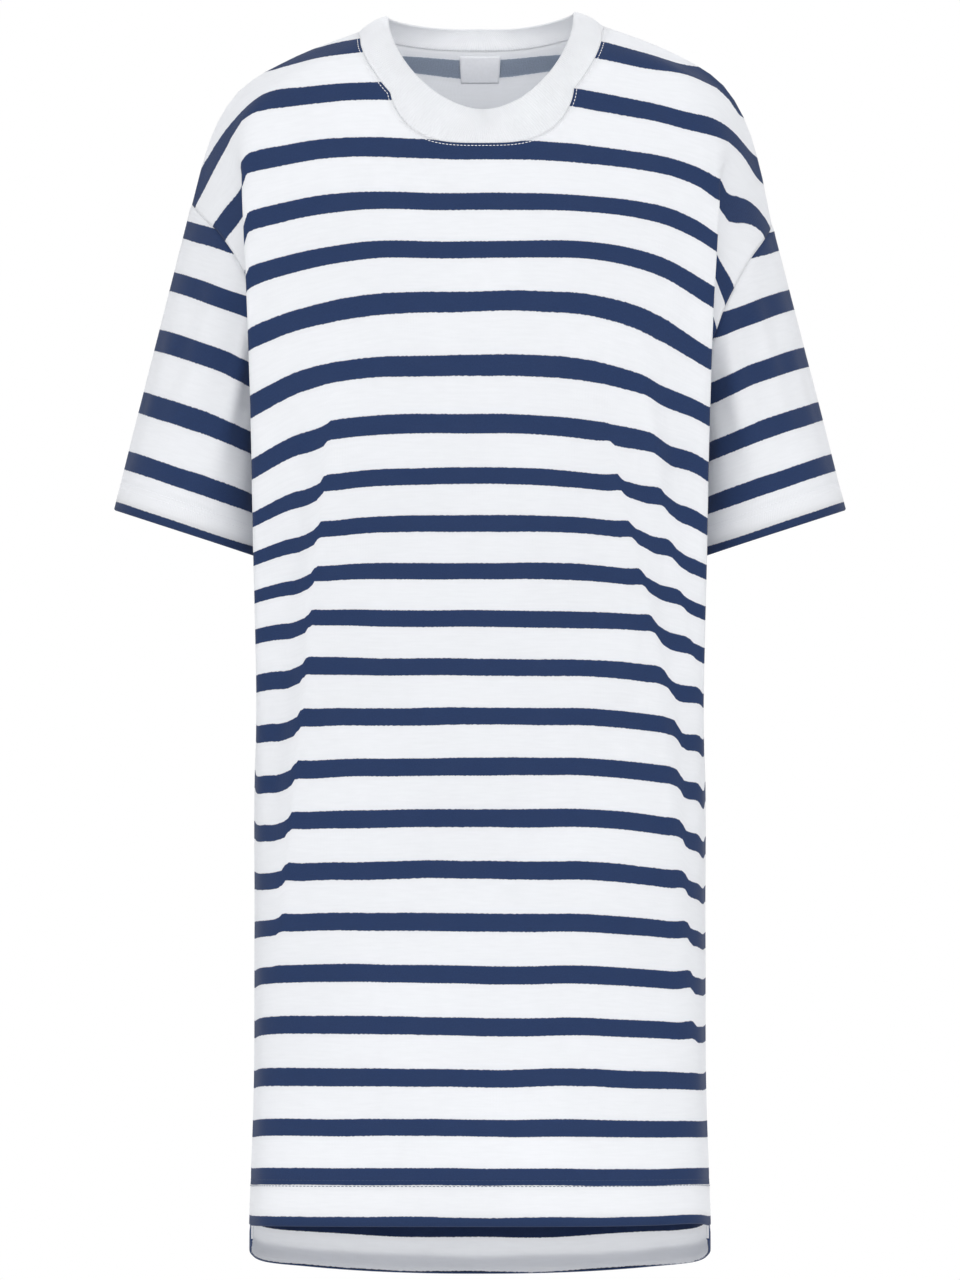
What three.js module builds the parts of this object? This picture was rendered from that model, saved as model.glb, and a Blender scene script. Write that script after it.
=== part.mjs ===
// A striped jersey nightshirt in its worn form, hollow, with nobody in it.
// Millimetres, +Z up, the front faces -Y, and +X is the right side as seen from the front.
// Each piece is cut flat first: "cloth" is the distance down the cloth from the neck point of the
// shoulder, and "across" runs from 0 at the centre line to 1 at the seam on either side.

import * as THREE from 'three';

// Driving sizes
const JERSEY_WALL = 1.5;
const RIB_WALL = 2.4;
const HEM_WALL = 2.6;
const SEAM_GAP = 0.3;
const HELD_DROP = 25; // the wearer's shoulders carry it this far below the neck point

const NECK_HALF_WIDTH = 96.4; // seam of the neckband, at the shoulder
const NECK_FRONT_DROP = 97; // the same seam, down the cloth at the centre front
const NECK_BACK_DROP = 27;
const BAND_INNER_HALF_WIDTH = 75;
const BAND_INNER_FRONT_Z = -74;
const BAND_INNER_BACK_Z = -9;
const BAND_INNER_FRONT_Y = -57;
const BAND_INNER_BACK_Y = 60;
const BAND_INNER_SIDE_Z = 1.5;
const BAND_INNER_ROUNDNESS = 1.85;
const BAND_FRONT_SHIFT = 2.4; // the front of the free edge hangs a little to the right
const BAND_FALL = 1.25; // how gently the free edge falls from the shoulder
const BAND_FLARE = 0.9; // how early it comes forward from there
const NECK_NORMAL = { sideShare: 0.25, up: 32 }; // how steeply the neckline seam faces up

const SHOULDER_CLOTH = 61; // cloth drop at the shoulder point
const UNDERARM_CLOTH = 290;
const FRONT_HEM_CLOTH = 966;
const BACK_HEM_CLOTH = 980; // at the side seams
const BACK_HEM_DIP = 33; // further down at the centre back
const HEM_CURVE = 2.6;
const HEM_DEPTH = 28;

const CUFF = { x: 233.5, z: -413.5, halfWidth: 63, halfDepth: 57, tiltDeg: 18, roundness: 2.2 };
const CUFF_HEM_DEPTH = 22;
const SLEEVE_BOW = 7; // how far the underarm side swings clear of the body
const ARM_CENTRE = { x: 197, z: -226 };

// The right shoulder sits a little higher and wider than the left
const RIGHT_LIFT = { from: 20, to: 110, bottom: -260, top: -120, out: 1.5, up: 5 };

const LABEL = { width: 33, top: -31, length: 24, thickness: 0.8, clearance: 0.5 };

const COLOURS = { white: 0xf0f1f3, rib: 0xefeef3 };
const CLOTH_ROUGHNESS = 0.9;
const TAPE_ROUGHNESS = 0.6;

// Mesh densities
const HALF_COLUMNS = 13;
const SHOULDER_ROWS = 4;
const ARMHOLE_ROWS = 12;
const BODY_ROWS = 18;
const SLEEVE_ROWS = 8;
const BAND_ROWS = 3;

const tableOf = (columns, rows) => rows.map((row) => (
  Object.fromEntries(row.map((value, i) => [columns[i], value]))
));

// Seam line from the neck point over the shoulder, then down the armhole to the underarm
const SEAM_COLUMNS = ['cloth', 'x', 'y', 'z'];
const SHOULDER_SEAM = tableOf(SEAM_COLUMNS, [
  [0, 96.4, 0, -11],
  [18, 154, 0, -34],
  [32, 193, 0, -58],
  [41, 211, 0, -84],
  [50, 221.5, 0, -112],
  [61, 231.5, 0, -150],
]);
const ARMHOLE_SEAM = tableOf(SEAM_COLUMNS, [
  [61, 231.5, 0, -150],
  [82, 223, 25, -160],
  [103, 209, 46, -174],
  [144, 187, 66, -209],
  [185, 180, 68, -241],
  [227, 174, 55, -271],
  [268, 167.5, 26, -297],
  [290, 165, 0, -303],
]);
const SIDE_SEAM = tableOf(SEAM_COLUMNS, [
  [290, 165, 0, -303],
  [312, 157, 0, -329],
  [350, 155, 0, -374],
  [410, 157, 0, -432],
  [473, 166, 0, -490],
  [560, 177.5, 0, -569],
  [720, 180, 0, -729],
  [846, 180.5, 0, -852],
  [966, 184, 0, -966],
  [1030, 184, 0, -1027],
]);

// On the right side the armhole seam hangs further out and down
const RIGHT_SEAM_SHIFT = tableOf(['cloth', 'out', 'up'], [
  [0, 0, 0],
  [32, 0, 0],
  [41, 0, -2],
  [50, 1, -9],
  [61, 2, -20],
  [82, 4, -22],
  [103, 7, -23],
  [144, 11, -20],
  [185, 8, -14],
  [227, 4, -8],
  [268, 1, -3],
  [290, 0, 0],
  [312, 0, 0],
  [1030, 0, 0],
]);

// Sections of the front and back at rows of cloth. z and y are at the centre line. The fold is where
// the panel turns away at the front of the arm, and behind is the hollow past it, beside the arm.
const SECTION_COLUMNS = [
  'cloth', 'z', 'y', 'foldX', 'foldY', 'dropL', 'dropR', 'behindX', 'behindY', 'behindDrop',
];
const FRONT_SECTIONS = tableOf(SECTION_COLUMNS, [
  [0, -1, -14, 70, -7, 3, 3, 82, -4, 6],
  [20, -21, -36, 116, -22, 5, 5, 137, -12, 9],
  [41, -41, -50, 158, -36, 8, 8, 186, -22, 22],
  [61, -61, -60, 184, -47, 13, 22, 205, -30, 41],
  [103, -108, -75, 189, -70, 16, 33, 189, -59, 33],
  [144, -149.5, -90, 188, -82, 21, 35, 183, -73, 40],
  [185, -188, -100, 186, -90, 24, 38, 181, -79, 38],
  [227, -230.2, -108, 184, -95, 30, 43, 180, -79, 36],
  [268, -281.4, -114, 183, -96, 32, 41, 174, -73, 28],
  [330, -349.6, -115, 182, -93, 31, 35, 166, -62, 22],
  [391, -407.3, -113, 181, -88, 22, 28, 166, -55, 18],
  [473, -483, -110, 179, -82, 9, 20, 171, -49, 12],
  [560, -565.2, -109, 176, -75, 8, 14, 179, -40, 9],
  [720, -725.6, -110, 173, -72, 3, 9, 180, -37, 6],
  [846, -852.8, -113, 173, -74, 0, 3, 180.5, -38, 2],
  [966, -967, -117, 174, -77, 0, -2, 184, -40, 0],
]);
const BACK_SECTIONS = tableOf(SECTION_COLUMNS, [
  [0, -1, 30, 70, 16, 3, 3, 82, 8, 6],
  [20, -20, 52, 116, 34, 5, 5, 137, 20, 9],
  [41, -38, 65, 158, 48, 8, 8, 186, 28, 22],
  [61, -57, 75, 184, 56, 16, 14, 207, 34, 44],
  [103, -98, 90, 188, 76, 26, 22, 193, 62, 42],
  [144, -139, 99, 186, 86, 34, 30, 186, 76, 50],
  [185, -180, 104, 184, 90, 38, 34, 183, 80, 46],
  [227, -222, 106, 182, 92, 42, 38, 179, 78, 42],
  [268, -263, 106, 181, 91, 44, 40, 173, 72, 39],
  [330, -325, 105, 180, 87, 42, 38, 166, 62, 36],
  [391, -386, 103, 179, 82, 36, 32, 166, 55, 32],
  [473, -468, 102, 177, 77, 27, 25, 171, 48, 25],
  [560, -555, 103, 174, 71, 17, 18, 179, 38, 17],
  [720, -716, 107, 173, 70, 12, 13, 180, 36, 14],
  [846, -842, 111, 173, 72, 8, 8, 180.5, 37, 10],
  [966, -962, 115, 174, 76, 4, 4, 184, 39, 5],
  [1030, -1025, 117, 174, 77, 3, 3, 184, 40, 3],
]);

// Soft diagonal drape folds that hang from the bust and the shoulder blades. From x at the top to
// x at the foot, the cloth outside the line falls back by depth and down by drop.
const FOLD_COLUMNS = ['x', 'foot', 'top', 'bottom', 'bend', 'depth', 'drop', 'width'];
const FRONT_FOLDS = tableOf(FOLD_COLUMNS, [
  [-122, -168, -320, -790, 0.85, 7, 6, 13],
  [131, 178, -265, -545, 1.1, 7, 7, 12],
  [110, 174, -355, -820, 0.6, 6, 6, 13],
]);
const BACK_FOLDS = tableOf(FOLD_COLUMNS, [
  [-118, -166, -240, -700, 0.8, 6, 5, 15],
  [104, 160, -290, -780, 0.7, 7, 5, 15],
]);
const FOLD_FADE = 90; // over which a fold starts and ends
const FOLD_LIP = 0.35; // how far the edge of a fold stands out, as a share of its depth

// Places across a half section, as shares of the way to the seam
const ACROSS = { inner: 0.35, outer: 0.57, fold: 0.72, behind: 0.84 };
const INNER_SHARE = { x: 0.49, turn: 0.1, drop: 0.05 };
const OUTER_SHARE = { x: 0.8, turn: 0.42, drop: 0.42 };

// Smooth curve through the rows of a table, by the cubic with mean slopes
function along(rows, key, at, column) {
  const last = rows.length - 1;
  let i = 0;
  while (i < last - 1 && at > rows[i + 1][key]) i += 1;
  const slope = (a, b) => (rows[b][column] - rows[a][column]) / (rows[b][key] - rows[a][key]);
  const here = slope(i, i + 1);
  const before = i > 0 ? (slope(i - 1, i) + here) / 2 : here;
  const after = i + 1 < last ? (slope(i + 1, i + 2) + here) / 2 : here;
  const span = rows[i + 1][key] - rows[i][key];
  const t = (at - rows[i][key]) / span;
  const start = rows[i][column];
  const end = rows[i + 1][column];
  const t2 = t * t;
  const t3 = t2 * t;
  const value = (2 * t3 - 3 * t2 + 1) * start + (3 * t2 - 2 * t3) * end;
  return value + span * ((t3 - 2 * t2 + t) * before + (t3 - t2) * after);
}

function smoothStep(from, to, value) {
  const t = Math.min(1, Math.max(0, (value - from) / (to - from)));
  return t * t * (3 - 2 * t);
}

function liftRight(point) {
  const share = smoothStep(RIGHT_LIFT.from, RIGHT_LIFT.to, point.x)
    * smoothStep(RIGHT_LIFT.bottom, RIGHT_LIFT.top, point.z);
  point.x += RIGHT_LIFT.out * share;
  point.z += RIGHT_LIFT.up * share;
  return point;
}

// Where the panel's outer seam lies, with x away from the centre and y towards the panel
function seamPlace(cloth, hand) {
  let rows = SIDE_SEAM;
  if (cloth <= UNDERARM_CLOTH) rows = ARMHOLE_SEAM;
  if (cloth <= SHOULDER_CLOTH) rows = SHOULDER_SEAM;
  const shift = (column) => (hand > 0 ? along(RIGHT_SEAM_SHIFT, 'cloth', cloth, column) : 0);
  return {
    x: along(rows, 'cloth', cloth, 'x') + shift('out'),
    y: along(rows, 'cloth', cloth, 'y'),
    z: along(rows, 'cloth', cloth, 'z') + shift('up'),
  };
}

function foldRelief(folds, x, z) {
  let depth = 0;
  let drop = 0;
  for (const fold of folds) {
    const way = Math.min(1, Math.max(0, (fold.top - z) / (fold.top - fold.bottom)));
    const lineX = fold.x + (fold.foot - fold.x) * way ** fold.bend;
    const outside = (x - lineX) * Math.sign(fold.x);
    const strength = smoothStep(fold.top + FOLD_FADE / 2, fold.top - FOLD_FADE, z)
      * smoothStep(fold.bottom, fold.bottom + 2 * FOLD_FADE, z);
    const ridge = Math.exp(-((outside / fold.width) ** 2));
    const past = smoothStep(-fold.width / 2, fold.width, outside);
    const regain = 1 - smoothStep(fold.width, 4 * fold.width, outside);
    depth += strength * fold.depth * (past * regain - FOLD_LIP * ridge);
    drop += strength * fold.drop * past;
  }
  return { depth, drop };
}

// Place on the outer face of the front or back panel
function panelPoint(panel, across, cloth) {
  const rows = panel.sections;
  const way = panel.facing;
  const hand = across < 0 ? -1 : 1;
  const dropColumn = across < 0 ? 'dropL' : 'dropR';
  const at = (column) => along(rows, 'cloth', cloth, column);
  const seam = seamPlace(cloth, hand);
  const centre = { z: at('z'), y: at('y') };
  const fold = { x: at('foldX'), y: at('foldY'), drop: at(dropColumn) };
  const turn = fold.y - centre.y;
  const stations = [
    { across: 0, x: 0, y: centre.y, drop: 0 },
    {
      across: ACROSS.inner,
      x: INNER_SHARE.x * fold.x,
      y: centre.y + INNER_SHARE.turn * turn,
      drop: INNER_SHARE.drop * fold.drop,
    },
    {
      across: ACROSS.outer,
      x: OUTER_SHARE.x * fold.x,
      y: centre.y + OUTER_SHARE.turn * turn,
      drop: OUTER_SHARE.drop * fold.drop,
    },
    { across: ACROSS.fold, x: fold.x, y: fold.y, drop: fold.drop },
    { across: ACROSS.behind, x: at('behindX'), y: at('behindY'), drop: at('behindDrop') },
    { across: 1, x: seam.x, y: seam.y * way, drop: centre.z - seam.z },
  ];
  const mirrored = { ...stations[1], across: -ACROSS.inner, x: -stations[1].x };
  stations.unshift(mirrored);
  const out = Math.abs(across);
  const x = hand * along(stations, 'across', out, 'x');
  const y = along(stations, 'across', out, 'y');
  const z = centre.z - along(stations, 'across', out, 'drop');
  const free = 1 - smoothStep(ACROSS.fold, ACROSS.behind, out);
  const relief = foldRelief(panel.folds, x, z);
  const depthY = y - way * free * relief.depth;
  return liftRight(new THREE.Vector3(x, depthY, z - free * relief.drop));
}

const FRONT = {
  sections: FRONT_SECTIONS,
  folds: FRONT_FOLDS,
  facing: -1,
  neckDrop: NECK_FRONT_DROP,
  neckRoundness: 2.6,
  hemCloth: () => FRONT_HEM_CLOTH,
};
const BACK = {
  sections: BACK_SECTIONS,
  folds: BACK_FOLDS,
  facing: 1,
  neckDrop: NECK_BACK_DROP,
  neckRoundness: 2.4,
  hemCloth: (across) => BACK_HEM_CLOTH + BACK_HEM_DIP * (1 - Math.abs(across) ** HEM_CURVE),
};

// Flat width of a panel at a row of cloth, from the centre line to its seam
function halfCut(cloth) {
  const underarmHalf = 258;
  const shoulderHalf = 290;
  if (cloth <= SHOULDER_CLOTH) {
    return NECK_HALF_WIDTH + (shoulderHalf - NECK_HALF_WIDTH) * (cloth / SHOULDER_CLOTH);
  }
  if (cloth >= UNDERARM_CLOTH) return underarmHalf;
  const share = (cloth - SHOULDER_CLOTH) / (UNDERARM_CLOTH - SHOULDER_CLOTH);
  return shoulderHalf + (underarmHalf - shoulderHalf) * share;
}

// The rows of cloth at the panel's seam, from the neck point to the hem
function seamRows() {
  const rows = [];
  for (let i = 0; i < SHOULDER_ROWS; i += 1) rows.push(SHOULDER_CLOTH * (i / SHOULDER_ROWS));
  for (let i = 0; i < ARMHOLE_ROWS; i += 1) {
    rows.push(SHOULDER_CLOTH + (UNDERARM_CLOTH - SHOULDER_CLOTH) * (i / ARMHOLE_ROWS));
  }
  rows.push(UNDERARM_CLOTH);
  return rows;
}

// Flat grid of a panel: from the neckline to the underarm row, then straight down to the hem
function panelGrid(panel) {
  const upper = seamRows();
  const grid = [];
  const columns = [];
  for (let c = -HALF_COLUMNS; c <= HALF_COLUMNS; c += 1) columns.push(c / HALF_COLUMNS);
  for (const cloth of upper) {
    const share = cloth / UNDERARM_CLOTH;
    const row = columns.map((column) => {
      const angle = (Math.abs(column) * Math.PI) / 2;
      const neckX = NECK_HALF_WIDTH * Math.sin(angle) ** (2 / panel.neckRoundness);
      const neckCloth = panel.neckDrop * Math.cos(angle) ** (2 / panel.neckRoundness);
      const flatCloth = neckCloth + (UNDERARM_CLOTH - neckCloth) * share;
      const straight = Math.abs(column) * halfCut(cloth);
      const neckPull = (1 - share) ** 2;
      const flatX = straight + (neckX - Math.abs(column) * NECK_HALF_WIDTH) * neckPull;
      const seamPull = Math.abs(column) ** 3;
      const rowCloth = flatCloth + (cloth - flatCloth) * seamPull;
      const reach = halfCut(rowCloth);
      return { across: Math.sign(column) * Math.min(1, flatX / reach), cloth: rowCloth };
    });
    row[0].across = -1;
    row[row.length - 1].across = 1;
    grid.push(row);
  }
  for (let i = 1; i <= BODY_ROWS; i += 1) {
    const row = columns.map((column) => {
      const hem = panel.hemCloth(column);
      return { across: column, cloth: UNDERARM_CLOTH + (hem - UNDERARM_CLOTH) * (i / BODY_ROWS) };
    });
    grid.push(row);
  }
  return grid;
}

function acrossSeam(from, to, tangent) {
  const way = new THREE.Vector3().subVectors(to, from);
  return way.addScaledVector(tangent, -way.dot(tangent)).normalize();
}

// Outward directions round an armhole, halfway between the panel's wall and the sleeve's,
// so that both walls end in the same plane even where they hang side by side under the arm
function armholeNormals(ring, panelSide, sleeveSide) {
  const count = ring.length;
  return ring.map((point, i) => {
    const tangent = new THREE.Vector3().subVectors(
      ring[(i + 1) % count],
      ring[(i + count - 1) % count],
    ).normalize();
    const across = acrossSeam(point, sleeveSide[i], tangent);
    across.sub(acrossSeam(point, panelSide[i], tangent));
    const normal = tangent.cross(across).normalize();
    const out = new THREE.Vector3(
      point.x - Math.sign(point.x) * ARM_CENTRE.x,
      point.y,
      point.z - ARM_CENTRE.z,
    );
    return normal.dot(out) < 0 ? normal.negate() : normal;
  });
}

// Outward direction at the neckband seam, shared by the neckband and both panels
function neckNormal(point) {
  return new THREE.Vector3(
    point.x * NECK_NORMAL.sideShare,
    point.y,
    NECK_NORMAL.up,
  ).normalize();
}

function shoulderNormal(cloth, hand) {
  const reach = 2;
  const a = seamPlace(Math.max(0, cloth - reach), hand);
  const b = seamPlace(Math.min(SHOULDER_CLOTH, cloth + reach), hand);
  const tangent = new THREE.Vector3(b.x - a.x, 0, b.z - a.z).normalize();
  return new THREE.Vector3(-tangent.z * hand, 0, tangent.x);
}

// Outward directions over a grid, from its neighbours
function gridNormals(points, closed, way) {
  const rows = points.length;
  const columns = points[0].length;
  return points.map((row, r) => row.map((point, c) => {
    const left = closed ? (c + columns - 1) % columns : Math.max(0, c - 1);
    const right = closed ? (c + 1) % columns : Math.min(columns - 1, c + 1);
    const aside = new THREE.Vector3().subVectors(points[r][right], points[r][left]);
    const down = new THREE.Vector3().subVectors(
      points[Math.min(rows - 1, r + 1)][c],
      points[Math.max(0, r - 1)][c],
    );
    return aside.cross(down).multiplyScalar(way).normalize();
  }));
}

// Moves an edge point back from its seam, across the wall's own direction
function backFromSeam(edge, inner, normal, tangent, distance) {
  const way = new THREE.Vector3().subVectors(inner, edge);
  way.addScaledVector(tangent, -way.dot(tangent));
  way.addScaledVector(normal, -way.dot(normal));
  return edge.clone().addScaledVector(way.normalize(), distance);
}

// Closed wall from a grid of outer points, going in along the normals by the thickness
function wallGeometry(outer, normals, thickness, closed) {
  const rows = outer.length;
  const columns = outer[0].length;
  const positions = [];
  const push = (point) => positions.push(point.x, point.y, point.z);
  outer.forEach((row) => row.forEach(push));
  outer.forEach((row, r) => row.forEach((point, c) => {
    push(point.clone().addScaledVector(normals[r][c], -thickness(r, c)));
  }));
  const inside = rows * columns;
  const id = (r, c) => r * columns + (closed ? c % columns : c);
  const faces = [];
  const quad = (a, b, c, d) => faces.push(a, b, c, a, c, d);
  const spans = closed ? columns : columns - 1;
  for (let r = 0; r < rows - 1; r += 1) {
    for (let c = 0; c < spans; c += 1) {
      quad(id(r, c), id(r + 1, c), id(r + 1, c + 1), id(r, c + 1));
      quad(
        inside + id(r, c),
        inside + id(r, c + 1),
        inside + id(r + 1, c + 1),
        inside + id(r + 1, c),
      );
    }
  }
  for (let c = 0; c < spans; c += 1) {
    quad(id(0, c), id(0, c + 1), inside + id(0, c + 1), inside + id(0, c));
    const r = rows - 1;
    quad(id(r, c), inside + id(r, c), inside + id(r, c + 1), id(r, c + 1));
  }
  if (!closed) {
    for (let r = 0; r < rows - 1; r += 1) {
      quad(id(r, 0), inside + id(r, 0), inside + id(r + 1, 0), id(r + 1, 0));
      const c = columns - 1;
      quad(id(r, c), id(r + 1, c), inside + id(r + 1, c), inside + id(r, c));
    }
  }
  const geometry = new THREE.BufferGeometry();
  geometry.setAttribute('position', new THREE.Float32BufferAttribute(positions, 3));
  geometry.setIndex(faces);
  return geometry;
}

// Turns the faces over where the grid was walked the other way round
function facingOut(geometry) {
  const p = geometry.attributes.position;
  const index = geometry.index.array;
  const a = new THREE.Vector3();
  const b = new THREE.Vector3();
  const c = new THREE.Vector3();
  let volume = 0;
  for (let i = 0; i < index.length; i += 3) {
    a.fromBufferAttribute(p, index[i]);
    b.fromBufferAttribute(p, index[i + 1]);
    c.fromBufferAttribute(p, index[i + 2]);
    volume += a.dot(b.cross(c));
  }
  if (volume < 0) {
    for (let i = 0; i < index.length; i += 3) {
      const swap = index[i + 1];
      index[i + 1] = index[i + 2];
      index[i + 2] = swap;
    }
  }
  return geometry;
}

function clothMesh(name, geometry, colour, roughness) {
  const material = new THREE.MeshStandardMaterial({ color: colour, roughness, metalness: 0 });
  const mesh = new THREE.Mesh(facingOut(geometry), material);
  mesh.name = name;
  return mesh;
}

// Front or back panel on its exact seams
function panelSurface(panel) {
  const flat = panelGrid(panel);
  const exact = flat.map((row) => row.map((spot) => panelPoint(panel, spot.across, spot.cloth)));
  return { panel, flat, exact, lastColumn: flat[0].length - 1 };
}

// Armhole points on one side: down the front from the shoulder point, then up the back. With a
// shift of 1 it gives each point's neighbour inside the panel.
function armholeRing(front, back, hand, shift) {
  const place = (surface, i) => {
    const row = SHOULDER_ROWS + i;
    const edge = hand < 0 ? 0 : surface.lastColumn;
    if (!shift) return surface.exact[row][edge];
    if (i === 0) return surface.exact[row - 1][edge];
    if (i === ARMHOLE_ROWS) return surface.exact[row + 1][edge];
    return surface.exact[row][edge - hand];
  };
  const ring = [];
  for (let i = 0; i <= ARMHOLE_ROWS; i += 1) ring.push(place(front, i));
  for (let i = ARMHOLE_ROWS - 1; i > 0; i -= 1) ring.push(place(back, i));
  return ring;
}

function cuffPoint(turn, hand) {
  const tilt = THREE.MathUtils.degToRad(CUFF.tiltDeg);
  const round = (value) => Math.sign(value) * Math.abs(value) ** (2 / CUFF.roundness);
  const out = CUFF.halfWidth * round(Math.cos(turn));
  return new THREE.Vector3(
    hand * (CUFF.x + out * Math.cos(tilt)),
    -CUFF.halfDepth * round(Math.sin(turn)),
    CUFF.z + out * Math.sin(tilt),
  );
}

// Sleeve from the armhole ring to the cuff, as a tube of rings
function sleeveSurface(front, back, hand) {
  const ring = armholeRing(front, back, hand, 0);
  const count = ring.length;
  const lengths = [0];
  for (let i = 1; i <= count; i += 1) {
    lengths.push(lengths[i - 1] + ring[i - 1].distanceTo(ring[i % count]));
  }
  const exact = [];
  for (let r = 0; r <= SLEEVE_ROWS; r += 1) {
    const s = r / SLEEVE_ROWS;
    exact.push(ring.map((start, i) => {
      const turn = (2 * Math.PI * lengths[i]) / lengths[count];
      const point = start.clone().lerp(cuffPoint(turn, hand), s);
      const under = (1 - Math.cos(turn)) / 2;
      point.x += hand * SLEEVE_BOW * under * Math.sin(Math.PI * Math.sqrt(s));
      return point;
    }));
  }
  const inPanel = armholeRing(front, back, hand, 1);
  return { exact, hand, seamNormals: armholeNormals(ring, inPanel, exact[1]) };
}

function panelMesh(name, surface, sleeves) {
  const { panel, flat, exact, lastColumn } = surface;
  const normals = gridNormals(exact, false, panel.facing);
  exact[0].forEach((point, c) => {
    normals[0][c] = neckNormal(point);
  });
  for (const sleeve of sleeves) {
    const edge = sleeve.hand < 0 ? 0 : lastColumn;
    const count = sleeve.seamNormals.length;
    for (let r = 1; r < flat.length; r += 1) {
      const i = r - SHOULDER_ROWS;
      if (i < 0) normals[r][edge] = shoulderNormal(flat[r][edge].cloth, sleeve.hand);
      else if (i > ARMHOLE_ROWS) normals[r][edge] = new THREE.Vector3(sleeve.hand, 0, 0);
      else normals[r][edge] = sleeve.seamNormals[panel.facing < 0 ? i : (count - i) % count];
    }
  }
  const outer = exact.map((row) => row.map((point) => point.clone()));
  const half = SEAM_GAP / 2;
  for (let r = 0; r < flat.length; r += 1) {
    for (const c of [0, lastColumn]) {
      const next = c === 0 ? 1 : lastColumn - 1;
      const tangent = new THREE.Vector3().subVectors(
        exact[Math.min(flat.length - 1, r + 1)][c],
        exact[Math.max(0, r - 1)][c],
      ).normalize();
      outer[r][c] = backFromSeam(exact[r][c], exact[r][next], normals[r][c], tangent, half);
    }
  }
  for (let c = 0; c <= lastColumn; c += 1) {
    const tangent = new THREE.Vector3().subVectors(
      exact[0][Math.min(lastColumn, c + 1)],
      exact[0][Math.max(0, c - 1)],
    ).normalize();
    const moved = backFromSeam(exact[0][c], exact[1][c], normals[0][c], tangent, half);
    outer[0][c].add(moved.sub(exact[0][c]));
  }
  for (const c of [0, lastColumn]) {
    for (const r of [SHOULDER_ROWS, SHOULDER_ROWS + ARMHOLE_ROWS]) {
      outer[r][c] = exact[r][c].clone();
      outer[r][c].y += panel.facing * half;
      outer[r][c].z += (r === SHOULDER_ROWS ? half : -half);
    }
  }
  const thickness = (r, c) => {
    const hem = panel.hemCloth(flat[r][c].across);
    return flat[r][c].cloth > hem - HEM_DEPTH ? HEM_WALL : JERSEY_WALL;
  };
  const wall = wallGeometry(outer, normals, thickness, false);
  return clothMesh(name, wall, COLOURS.white, CLOTH_ROUGHNESS);
}

function sleeveMesh(name, sleeve) {
  const { exact, hand, seamNormals } = sleeve;
  const ring = exact[0];
  const count = ring.length;
  const normals = gridNormals(exact, true, hand);
  normals[0] = seamNormals;
  const outer = exact.map((row) => row.map((point) => point.clone()));
  outer[0] = ring.map((point, i) => {
    const tangent = new THREE.Vector3().subVectors(
      ring[(i + 1) % count],
      ring[(i + count - 1) % count],
    ).normalize();
    return backFromSeam(point, exact[1][i], normals[0][i], tangent, SEAM_GAP / 2);
  });
  const length = ring[0].distanceTo(exact[SLEEVE_ROWS][0]);
  const thickness = (r) => {
    const aboveCuff = (1 - r / SLEEVE_ROWS) * length;
    return aboveCuff < CUFF_HEM_DEPTH ? HEM_WALL : JERSEY_WALL;
  };
  const wall = wallGeometry(outer, normals, thickness, true);
  return clothMesh(name, wall, COLOURS.white, CLOTH_ROUGHNESS);
}

// Ribbed neckband: a ring from the neckline seam up and in to its free edge
function bandInnerPoint(angle) {
  const round = 2 / BAND_INNER_ROUNDNESS;
  const atFront = Math.cos(angle) > 0;
  const side = Math.sin(angle);
  const towards = Math.abs(Math.cos(angle));
  const shift = atFront ? BAND_FRONT_SHIFT * towards : 0;
  const x = BAND_INNER_HALF_WIDTH * Math.sign(side) * Math.abs(side) ** round + shift;
  const endZ = atFront ? BAND_INNER_FRONT_Z : BAND_INNER_BACK_Z;
  const endY = atFront ? BAND_INNER_FRONT_Y : BAND_INNER_BACK_Y;
  const z = BAND_INNER_SIDE_Z + (endZ - BAND_INNER_SIDE_Z) * towards ** BAND_FALL;
  return liftRight(new THREE.Vector3(x, endY * towards ** BAND_FLARE, z));
}

function neckbandMesh(front, back) {
  const swell = 2.5;
  const columns = 4 * HALF_COLUMNS;
  const seam = [];
  for (let i = 0; i < columns / 2; i += 1) seam.push(front.exact[0][i]);
  for (let i = 0; i < columns / 2; i += 1) seam.push(back.exact[0][columns / 2 - i]);
  const exact = [];
  for (let r = 0; r <= BAND_ROWS; r += 1) {
    const s = r / BAND_ROWS;
    exact.push(seam.map((start, i) => {
      const angle = -Math.PI / 2 + (2 * Math.PI * i) / columns;
      const point = start.clone().lerp(bandInnerPoint(angle), s);
      return point.addScaledVector(neckNormal(start), swell * Math.sin(Math.PI * s));
    }));
  }
  const normals = gridNormals(exact, true, 1);
  normals[0] = seam.map((point) => neckNormal(point));
  const outer = exact.map((row) => row.map((point) => point.clone()));
  outer[0] = seam.map((point, i) => {
    const tangent = new THREE.Vector3().subVectors(
      seam[(i + 1) % columns],
      seam[(i + columns - 1) % columns],
    ).normalize();
    return backFromSeam(point, exact[1][i], normals[0][i], tangent, SEAM_GAP / 2);
  });
  const thickness = (r) => (r === 0 ? JERSEY_WALL : RIB_WALL);
  const wall = wallGeometry(outer, normals, thickness, true);
  return clothMesh('neckband', wall, COLOURS.rib, CLOTH_ROUGHNESS);
}

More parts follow.
